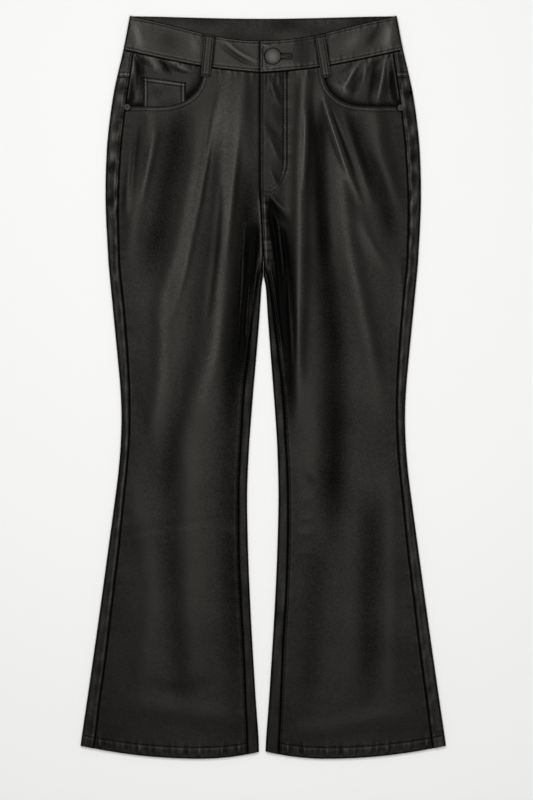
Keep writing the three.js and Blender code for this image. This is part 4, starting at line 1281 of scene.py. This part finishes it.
def cut_keyhole(band):
    """The buttonhole: a round eye under the button and a slit that runs on towards the side."""
    eye, slit, end = KEYHOLE["eye"], KEYHOLE["slit"], KEYHOLE["end"]
    first = math.asin(slit / eye)
    turns = np.linspace(first, 2 * math.pi - first, 24)
    outline = [(BUTTON_AT[0] + eye * math.cos(turn), eye * math.sin(turn)) for turn in turns]
    outline += [(end + slit * math.sin(a), -slit * math.cos(a)) for a in np.linspace(0, math.pi, 8)]
    count = len(outline)
    points = [
        (x * MM, (up + BUTTON_AT[1] - LENGTH / 2) * MM, z * MM)
        for z in (BAND_TOP - 2, BAND_TOP + 6) for x, up in outline
    ]
    sides = [(step, (step + 1) % count, (step + 1) % count + count, step + count) for step in range(count)]
    mesh = bpy.data.meshes.new("keyhole")
    mesh.from_pydata(points, [], [tuple(reversed(range(count))), tuple(range(count, 2 * count)), *sides])
    punch = add_object("keyhole", mesh)
    cut = band.modifiers.new("keyhole", "BOOLEAN")
    cut.operation, cut.solver, cut.object = "DIFFERENCE", "EXACT", punch
    graph = bpy.context.evaluated_depsgraph_get()
    opened = bpy.data.meshes.new_from_object(band.evaluated_get(graph))
    band.modifiers.clear()
    # the cut mesh gets its painted light and shade back from the nearest point of the band before the cut
    nearest = KDTree(len(band.data.vertices))
    for vertex in band.data.vertices:
        nearest.insert(vertex.co, vertex.index)
    nearest.balance()
    before = band.data.attributes["tone_and_painted_light"].data
    values = [before[nearest.find(vertex.co)[1]].value for vertex in opened.vertices]
    layer = opened.attributes.get("tone_and_painted_light") or opened.attributes.new("tone_and_painted_light", "FLOAT", "POINT")
    layer.data.foreach_set("value", values)
    band.data = opened
    bpy.data.objects.remove(punch)


WAISTBAND = {
    "height": band_height,
    "under": lambda up: BAND_UNDER + 0 * up,
    "floor": lambda leg, x, up: 0.0,
    "start": lambda up: HALF_GAP + 0 * up,
    "seam": band_seam,
    "lines": band_lines,
    "puffs": band_puffs,
    "shade": band_shade,
    "thick": BAND,
    "tone_and_painted_light": 0.53,
    "columns": (np.linspace(0, 1, 90), 12, graded(0, 190, 1.9, fine_start=False) / 190),
    "rows": graded(0, 46, 1.2) / 46,
    "low": (FRONT_SEAM, BACK_SEAM, HALF_GAP),
    "high": (FRONT_TOP, BACK_TOP, 0.0),
}
bands = {}
for name, leg in LEGS.items():
    bands[name] = side_piece(f"waistband_{name}_leather", leg, {**WAISTBAND, "end": band_end(leg)}, 0.36)
    if leg["laps"]:
        cut_keyhole(bands[name])
    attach(bands[name], "root")
    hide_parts(f"waistband_{name}")


# Belt loops
# Narrow straps, folded and stitched along both edges, tacked to the waistband's top and to the
# leather below it. The two in front stand over the band, the three at the back lie under it.
LOOP_WIDE, LOOP_THICK = 14.7, 1.7
LOOP_ROW = 2.6
FRONT_LOOPS = {
    "right": ((-75.0, 1013.5), (-80.9, 953.3)),
    "left": ((78.8, 1012.8), (88.6, 952.6)),
}
BACK_LOOPS = {
    "right": ((-98.0, 1036.6), (-101.0, 979.0)),
    "centre": ((0.0, 1035.0), (0.0, 977.5)),
    "left": ((98.0, 1036.6), (101.0, 979.0)),
}


def loop_lines(edge, ends):
    rows = [(ROW, edge - LOOP_ROW, 1), (ROW, ends - 2.4, 1), (ROW, ends - 3.4, 1)]
    return [(EDGE, edge, 1), (EDGE, ends, 1), *rows]


def loop_face(top, low, along, across, facing):
    """Point of a loop's outer face. along and across are in millimetres from its low end and middle."""
    long = math.dist(top, low)
    run = np.array([top[0] - low[0], top[1] - low[1]]) / long
    x = low[0] + run[0] * along + run[1] * across
    up = low[1] + run[1] * along - run[0] * across
    ends = np.minimum(along, long - along)
    edge = LOOP_WIDE / 2 - np.abs(across)
    rise = 0.3 * ease(3, 14, ends) + relief(loop_lines(edge, ends))
    if facing > 0:
        z = BAND_TOP + 2 * HALF_GAP + LOOP_THICK + rise - 0.5 * (1 - ease(0, 12, along))
    else:
        z = np.maximum(0.3 - rise, 0)
    return np.stack([x, up, z], -1)


def belt_loop(name, top, low, facing):
    """A strap from top to low, facing up (1) or down (-1). Its middle is painted darker than its edges, as
    painted shade.
    """
    long = math.dist(top, low)
    along = graded(0, long, 1.6)[:, None]
    across = np.linspace(-LOOP_WIDE / 2, LOOP_WIDE / 2, 33)[None, :]
    along, across = np.broadcast_arrays(along, across)
    outer = loop_face(top, low, along, across, facing)
    out = np.zeros(outer.shape)
    out[..., 2] = facing
    edge = LOOP_WIDE / 2 - np.abs(across)
    middle = -0.14 * np.exp(-(across / 3.4) ** 2)
    tone_and_painted_light = 0.58 + middle + painted_line_shade(loop_lines(edge, np.minimum(along, long - along))) * 0.9
    return closed_wall(name, outer, out, LOOP_THICK - 0.3, body_leather, tone_and_painted_light, 0.2)


loops = {}
for name, (top, low) in FRONT_LOOPS.items():
    loops[f"front_{name}"] = belt_loop(f"loop_front_{name}", top, low, 1)
for name, (top, low) in BACK_LOOPS.items():
    loops[f"back_{name}"] = belt_loop(f"loop_back_{name}", top, low, -1)
for name, made in loops.items():
    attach(made, "root")
    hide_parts(f"belt_loop_{name}")


# Button and rivets
# A shank button with a smooth domed cap, and a small rivet at each outer corner of the pocket mouths,
# all of dark metal. The shank goes through both ends of the waistband, each rivet through the front.
BRUSHING = 0.3


def trim_finish(name, colour, metallic, marks, detail, rough):
    """Metal or thread whose roughness varies over fine marks of a given size in millimetres."""
    material, tree = new_material(name)
    place = {"Vector": add_node(tree, "ShaderNodeTexCoord").outputs["Object"]}
    fine = add_node(tree, "ShaderNodeTexNoise", {"Scale": 1 / (marks * MM), "Detail": detail}, place)
    shine = add_node(
        tree, "ShaderNodeMapRange", {"To Min": rough[0], "To Max": rough[1]}, {"Value": fine.outputs["Fac"]}
    )
    shader = add_node(
        tree, "ShaderNodeBsdfPrincipled", {"Base Color": linear(colour), "Metallic": metallic},
        {"Roughness": shine.outputs[0]},
    )
    add_node(tree, "ShaderNodeOutputMaterial", (), {"Surface": shader.outputs[0]})
    return material


# Steel, brushed and plated dark gunmetal: a satin grey sheen, broken up by marks about 0.3 mm wide.
gunmetal = trim_finish("gunmetal", "#5b5a57", 1.0, BRUSHING, 3.0, (0.61, 0.74))
dark_gunmetal = trim_finish("dark_gunmetal", "#3a3936", 1.0, BRUSHING, 3.0, (0.55, 0.68))


def turned_metal(name, profile, x, up, metal, segments=48):
    """A turned piece on an upright axis, from (radius, height) pairs that start and end on the axis."""
    ring = np.linspace(0, 2 * np.pi, segments, endpoint=False)
    middle = np.array(profile[1:-1])
    points = [[x, up, profile[0][1]]]
    for radius, z in middle:
        points += [[x + radius * math.cos(a), up + radius * math.sin(a), z] for a in ring]
    points.append([x, up, profile[-1][1]])
    faces = []
    for step in range(segments):
        after = (step + 1) % segments
        faces.append((0, 1 + after, 1 + step))
        for row in range(len(middle) - 1):
            a, b = 1 + row * segments + step, 1 + row * segments + after
            faces.append((a, b, b + segments, a + segments))
        last = 1 + (len(middle) - 1) * segments
        faces.append((last + step, last + after, len(points) - 1))
    mesh = bpy.data.meshes.new(name)
    mesh.from_pydata([(px * MM, (py - LENGTH / 2) * MM, pz * MM) for px, py, pz in points], [], faces)
    mesh.shade_smooth()
    mesh.set_sharp_from_angle(angle=math.radians(40))
    mesh.materials.append(metal)
    made = add_object(name, mesh)
    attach(made, "root")
    return made


# profiles as (radius, height over the base): the shank's radius, the cap's rim and dome, a rivet's head
SHANK = 2.0
CAP_RIM = [(9.8, 0), (10.4, 0.3), (10.6, 0.9), (10.4, 1.4), (10.0, 1.6), (9.7, 1.5)]
DOME_WIDE, DOME_FROM, DOME_RISE, DOME_FLAT = 9.6, 1.6, 2.2, 2.6
RIVET_HEAD = [
    (0, 0), (4.2, 0), (4.35, 0.35), (4.1, 0.75), (3.2, 0.95), (2.9, 0.85), (1.9, 1.05), (1.6, 1.45),
    (1.0, 1.65), (0, 1.7),
]
button_foot = BAND_TOP + 2 * HALF_GAP
button_base = button_foot + BAND + 2 * HALF_GAP
cap = [(0, button_foot), (SHANK, button_foot), (SHANK, button_base)]
cap += [(radius, button_base + rise) for radius, rise in CAP_RIM]
cap += [
    (radius, button_base + DOME_FROM + DOME_RISE * (1 - (radius / DOME_WIDE) ** DOME_FLAT))
    for radius in np.linspace(9.4, 0.7, 14)
]
cap.append((0, button_base + DOME_FROM + DOME_RISE))
button = turned_metal("button_cap", cap, *BUTTON_AT, gunmetal, segments=64)
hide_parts("button")

for name, (x, up) in RIVETS.items():
    base = float(drape(LEGS[name], np.array(x), np.array(up))) + 0.25
    head = [(radius, base + rise) for radius, rise in RIVET_HEAD]
    rivet = turned_metal(f"rivet_{name}_head", head, LEGS[name]["sign"] * x, up, dark_gunmetal)
    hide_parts(f"rivet_{name}")


# Stitching
# Black bonded thread, one short raised stitch about every 4 mm. It runs beside the seams, round the
# pocket mouths, down the fly in a J, round the hems and along the loops, with bar tacks at the ends.
STITCH_EVERY, STITCH_LONG, STITCH_WIDE = 4.2, 2.9, 0.95
PROUD = 0.12
THREAD_TWIST = 0.4
# Polyester spun and bonded: nearly matt, with a faint sheen that its twist, about 0.4 mm, breaks up.
thread = trim_finish("black_thread", "#060606", 0.0, THREAD_TWIST, 2.0, (0.42, 0.62))
hole_thread = trim_finish("dark_thread", "#0b0b0a", 0.0, THREAD_TWIST, 2.0, (0.42, 0.62))


def stitch_tree():
    """Geometry nodes that put a rounded stitch on each point, turned along the row."""
    tree = bpy.data.node_groups.new("stitches_on_points", "GeometryNodeTree")
    tree.interface.new_socket("Geometry", in_out="INPUT", socket_type="NodeSocketGeometry")
    for label in ("Length", "Width"):
        tree.interface.new_socket(label, in_out="INPUT", socket_type="NodeSocketFloat")
    tree.interface.new_socket("Thread", in_out="INPUT", socket_type="NodeSocketMaterial")
    tree.interface.new_socket("Geometry", in_out="OUTPUT", socket_type="NodeSocketGeometry")
    given = add_node(tree, "NodeGroupInput").outputs
    bead = add_node(tree, "GeometryNodeMeshUVSphere", {"Segments": 6, "Rings": 4, "Radius": 0.5})
    along = add_node(tree, "GeometryNodeInputNamedAttribute", {"Name": "along"}, data_type="FLOAT_VECTOR")
    way = {"Vector": along.outputs["Attribute"]}
    turn = add_node(tree, "FunctionNodeAlignRotationToVector", (), way, axis="X")
    size = add_node(
        tree, "ShaderNodeCombineXYZ", (), {"X": given["Length"], "Y": given["Width"], "Z": given["Width"]}
    )
    placed = add_node(
        tree, "GeometryNodeInstanceOnPoints", (),
        {
            "Points": given["Geometry"], "Instance": bead.outputs["Mesh"],
            "Rotation": turn.outputs["Rotation"], "Scale": size.outputs[0],
        },
    )
    real = add_node(tree, "GeometryNodeRealizeInstances", (), {"Geometry": placed.outputs["Instances"]})
    smooth = add_node(tree, "GeometryNodeSetShadeSmooth", (), {"Geometry": real.outputs[0]})
    dyed = add_node(
        tree, "GeometryNodeSetMaterial", (), {"Geometry": smooth.outputs[0], "Material": given["Thread"]}
    )
    add_node(tree, "NodeGroupOutput", (), {"Geometry": dyed.outputs[0]})
    return tree


stitching = stitch_tree()


def along_row(row, length, run):
    return np.stack([np.interp(run, length, row[:, axis]) for axis in range(3)], -1)


def sew(name, rows, every=STITCH_EVERY, long=STITCH_LONG, wide=STITCH_WIDE, spool=thread):
    """Stitches along rows, each an array of points in millimetres that runs along the leather."""
    places, ways = [], []
    for row in rows:
        length = np.concatenate([[0], np.cumsum(np.linalg.norm(np.diff(row, axis=0), axis=1))])
        count = max(int(length[-1] / every), 1)
        middle = (np.arange(count) + 0.5) * length[-1] / count
        places.append(along_row(row, length, middle))
        ways.append(along_row(row, length, middle + long / 2) - along_row(row, length, middle - long / 2))
    places, ways = np.concatenate(places), np.concatenate(ways)
    mesh = bpy.data.meshes.new(name)
    mesh.vertices.add(len(places))
    mesh.vertices.foreach_set("co", in_scene(places).ravel())
    layer = mesh.attributes.new("along", "FLOAT_VECTOR", "POINT")
    layer.data.foreach_set("vector", ways.ravel())
    made = add_object(name, mesh)
    grow = made.modifiers.new("stitches", "NODES")
    grow.node_group = stitching
    inputs = [item for item in stitching.interface.items_tree if item.in_out == "INPUT"]
    sockets = {item.name: item.identifier for item in inputs}
    grow[sockets["Length"]] = long * MM
    grow[sockets["Width"]] = wide * MM
    grow[sockets["Thread"]] = spool
    graph = bpy.context.evaluated_depsgraph_get()
    sewn = bpy.data.meshes.new_from_object(made.evaluated_get(graph))
    made.modifiers.clear()
    made.data = sewn
    if not sewn.materials:
        sewn.materials.append(spool)
    bpy.data.meshes.remove(mesh)
    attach(made, "root")


def on_front(leg, x, up):
    x, up = np.broadcast_arrays(np.asarray(x, float), np.asarray(up, float))
    return leg_points(leg, x, up, front_base(leg, x, up) + front_detail(leg, x, up) + PROUD)


def on_strip(leg, x, up):
    return leg_points(leg, x, up, drape(leg, x, up) + strip_detail(leg, x, up) + PROUD)


def scoop_row(leg, inset):
    """A row of stitches a given distance inside the pocket mouth."""
    angle = np.linspace(0.0, np.pi / 2, 90)
    start_up = float(curve_up(FRONT_SEAM, SCOOP["start_x"]))
    power = 2 / SCOOP["power"]
    across, down = SCOOP["level_x"] - SCOOP["start_x"], start_up - SCOOP_UP
    x = SCOOP["level_x"] - (across + inset) * np.cos(angle) ** power
    up = start_up - (down + inset) * np.sin(angle) ** power
    level = np.linspace(SCOOP["level_x"] + 2, float(form(OUTSEAM, SCOOP_UP)) - 2, 20)
    x = np.concatenate([x, level])
    up = np.concatenate([up, np.full(20, SCOOP_UP - inset)])
    keep = up < curve_up(FRONT_SEAM, x) - 2
    return on_front(leg, x[keep], up[keep])


def hem_row(from_x, to_x, count):
    x = np.linspace(float(from_x), float(to_x), count)
    return x, hem_up(x) + HEM_DEEP


seams = {}
for name, leg in LEGS.items():
    up = np.linspace(18, 676, 330)
    inseam = on_front(leg, form(INSEAM, up) + 2.3, up)
    side_rows = []
    for low, high, count in ((798, 910, 60), (956, 989, 18)):
        up = np.linspace(low, high, count)
        side_rows.append(on_strip(leg, form(OUTSEAM, up) + 2.8, up))
    inner, outer = form(INSEAM, HEM_DEEP), form(OUTSEAM, HEM_DEEP)
    hem = on_front(leg, *hem_row(inner + 2, outer - 2, 120))
    side_hem = on_strip(leg, *hem_row(outer + 2, form(OUTER, HEM_DEEP) - 3, 12))
    x, up = hem_row(inner_fold(leg, HEM_DEEP) + 3, inner - 2, 10)
    inner_hem = leg_points(leg, x, up, drape(leg, x, up) - 0.1)
    mouth = [scoop_row(leg, inset) for inset in MOUTH_ROWS]
    seams[name] = [inseam, *side_rows, hem, side_hem, inner_hem, *mouth]
sew("leg_stitches", seams["right"] + seams["left"])

left, right = LEGS["left"], LEGS["right"]
fly_rows = []
for inset, low, high, count in ((FLY_EDGE_ROWS[0], 700, 955, 130), (FLY_EDGE_ROWS[1], 698, 786, 45)):
    up = np.linspace(low, high, count)
    fly_rows.append(on_front(left, front_inner_edge(left, up) + inset, up))
for middle_x, middle_up, across, down in FLY_ROWS:
    angle = np.linspace(0, np.pi / 2 * 0.97, 40)
    x = np.concatenate([np.full(50, middle_x + across), middle_x + across * np.cos(angle)])
    up = np.concatenate([np.linspace(957, middle_up, 50, endpoint=False), middle_up - down * np.sin(angle)])
    fly_rows.append(on_front(left, x, up))
sew("fly_stitches", fly_rows)


def zigzag(count, reach):
    return np.where(np.arange(count) % 2 == 0, reach, -reach)


def fly_tack(foot, head, count=26, reach=1.1):
    """Close zigzag of the bar tack at the foot of the fly, between two ends given as (x, up)."""
    run, swing = np.linspace(0, 1, count), zigzag(count, reach)
    across = np.array([head[1] - foot[1], foot[0] - head[0]]) / math.dist(foot, head)
    x = mix(foot[0], head[0], run) + across[0] * swing
    up = mix(foot[1], head[1], run) + across[1] * swing
    return on_front(left, x, up) + [0, 0, 0.2]


def loop_sides(top, low, facing, proud):
    """The two long rows of a belt loop."""
    run = np.linspace(2.0, math.dist(top, low) - 2.0, 30)
    for side in (-1, 1):
        row = loop_face(top, low, run, np.full(30, side * (LOOP_WIDE / 2 - LOOP_ROW)), facing)
        yield row + [0, 0, proud]


tacks = [fly_tack((-1.5, 803.0), (3.0, 791.0))]
loop_rows = []
for top, low in FRONT_LOOPS.values():
    loop_rows += loop_sides(top, low, 1, 0.1)
    for at in (2.4, math.dist(top, low) - 2.4):
        tacks.append(loop_face(top, low, at + zigzag(24, 0.9), np.linspace(-6.2, 6.2, 24), 1) + [0, 0, 0.25])
for top, low in BACK_LOOPS.values():
    for row in loop_sides(top, low, -1, 0.2):
        row[:, 2] = np.maximum(row[:, 2], STITCH_WIDE / 2)
        loop_rows.append(row)
band_rows = []
for leg in LEGS.values():
    low_x = -4.4 if leg["laps"] else 5.5
    for curve, inset in ((FRONT_SEAM, WELT), (FRONT_TOP, -BAND_ROW)):
        x = np.linspace(low_x + 3, float(form(OUTER, 1000)) - 6, 160)
        up = curve_up(curve, x) + inset
        band_rows.append(leg_points(leg, x, up, band_height(leg, x, up) - 0.2))
up = np.linspace(963, 1001, 20)
x = fly_edge(up) + 3.5
band_rows.append(leg_points(left, x, up, band_height(left, x, up) - 0.1))
for leg in LEGS.values():
    x = np.linspace(2, 178, 120)
    band_rows.append(leg_points(leg, x, curve_up(BACK_TOP, x) - BAND_ROW, BAND_UNDER + BAND - 0.1))
    x = np.linspace(float(form(OUTSEAM, 955)) + 2, float(form(OUTER, 955)) - 2, 10)
    for row in YOKE_ROWS:
        up = np.full(10, WAIST[-1, YOKE_SEAM] + row)
        band_rows.append(leg_points(leg, x, up, drape(leg, x, up) - 0.2))
for inset in COIN_ROWS:
    sides_x = COIN["inner_x"] + inset, COIN["outer_x"] - inset
    x = np.linspace(*sides_x, 40)
    rows = [(x, coin_top(x) - inset)]
    for x in sides_x:
        rows.append((np.full(30, x), np.linspace(COIN["foot"] + 1, float(coin_top(x)) - inset, 30)))
    for x, up in rows:
        z = coin_base(right, x, up) + coin_detail(right, x, up) + PROUD
        band_rows.append(leg_points(right, x, up, z))
sew("band_and_pocket_stitches", band_rows)

# buttonhole stitches across the slit, from its edge outward, and round its end
HOLE_REACH = np.array([0.9, 3.1])
hole_ways = []
for x in np.arange(20.0, 37.0, 0.9):
    hole_ways += [(np.full(2, x), BUTTON_AT[1] + side * HOLE_REACH) for side in (-1, 1)]
for angle in np.linspace(-1.2, 1.2, 7):
    across, along = HOLE_REACH * math.cos(angle), HOLE_REACH * math.sin(angle)
    hole_ways.append((KEYHOLE["end"] + across, BUTTON_AT[1] + along))
hole_rows = [leg_points(left, x, up, band_height(left, x, up) + 0.15) for x, up in hole_ways]
sew("buttonhole_stitches", hole_rows, every=9.0, long=2.1, wide=0.7, spool=hole_thread)
# the tack of the centre back loop, seen inside the waistband
x = np.linspace(-9, 9, 30)
tacks.append(leg_points(left, x, 1031.5 + 0.9 * (np.arange(30) % 2), BAND_UNDER + BAND + 0.1))
sew("bar_tacks", tacks, every=1.0, long=1.6, wide=0.55)
sew("loop_stitches", loop_rows)


# Floor and light
# A white table top under a long strip softbox, which draws each fold of the black leather as a soft
# sheen, with a wide dim bounce from the ceiling and a faint even light from all round.
FLOOR_HALF = 4
floor_mesh = bpy.data.meshes.new("table")
corners = ((-1, -1), (1, -1), (1, 1), (-1, 1))
floor_mesh.from_pydata([(x * FLOOR_HALF, y * FLOOR_HALF, 0) for x, y in corners], [], [(0, 1, 2, 3)])
floor = add_object("table", floor_mesh)
floor.location.z = -0.4 * MM
# laminate with a matt face, so that the table shows no reflection of the lamps
white = bpy.data.materials.new("white_table")
white.use_nodes = True
paint = white.node_tree.nodes["Principled BSDF"].inputs
paint["Base Color"].default_value = linear("#f4f4f2")
paint["Roughness"].default_value = 0.9
floor_mesh.materials.append(white)


def soft_lamp(name, place, aim, size, power):
    """A rectangular lamp, size in metres and power in watts, turned to shine at aim."""
    data = bpy.data.lights.new(name, "AREA")
    data.shape = "RECTANGLE"
    data.size, data.size_y = size
    data.energy = power
    lamp = add_object(name, data)
    lamp.location = place
    way = np.array(aim, float) - np.array(place, float)
    tilt = math.acos(-way[2] / np.linalg.norm(way))
    lamp.rotation_euler = (tilt, 0, math.atan2(way[1], way[0]) - math.pi / 2)


soft_lamp("strip_softbox", (-0.12, 0.42, 2.5), (0, 0.1, 0), (0.85, 2.2), 40)
soft_lamp("ceiling_bounce", (0.0, 0.3, 3.4), (0, 0, 0), (3.5, 3.5), 44)
world = bpy.data.worlds.new("studio")
bpy.context.scene.world = world
world.use_nodes = True
sky = world.node_tree.nodes["Background"].inputs
sky["Color"].default_value = (1, 1, 1, 1)
sky["Strength"].default_value = 0.2
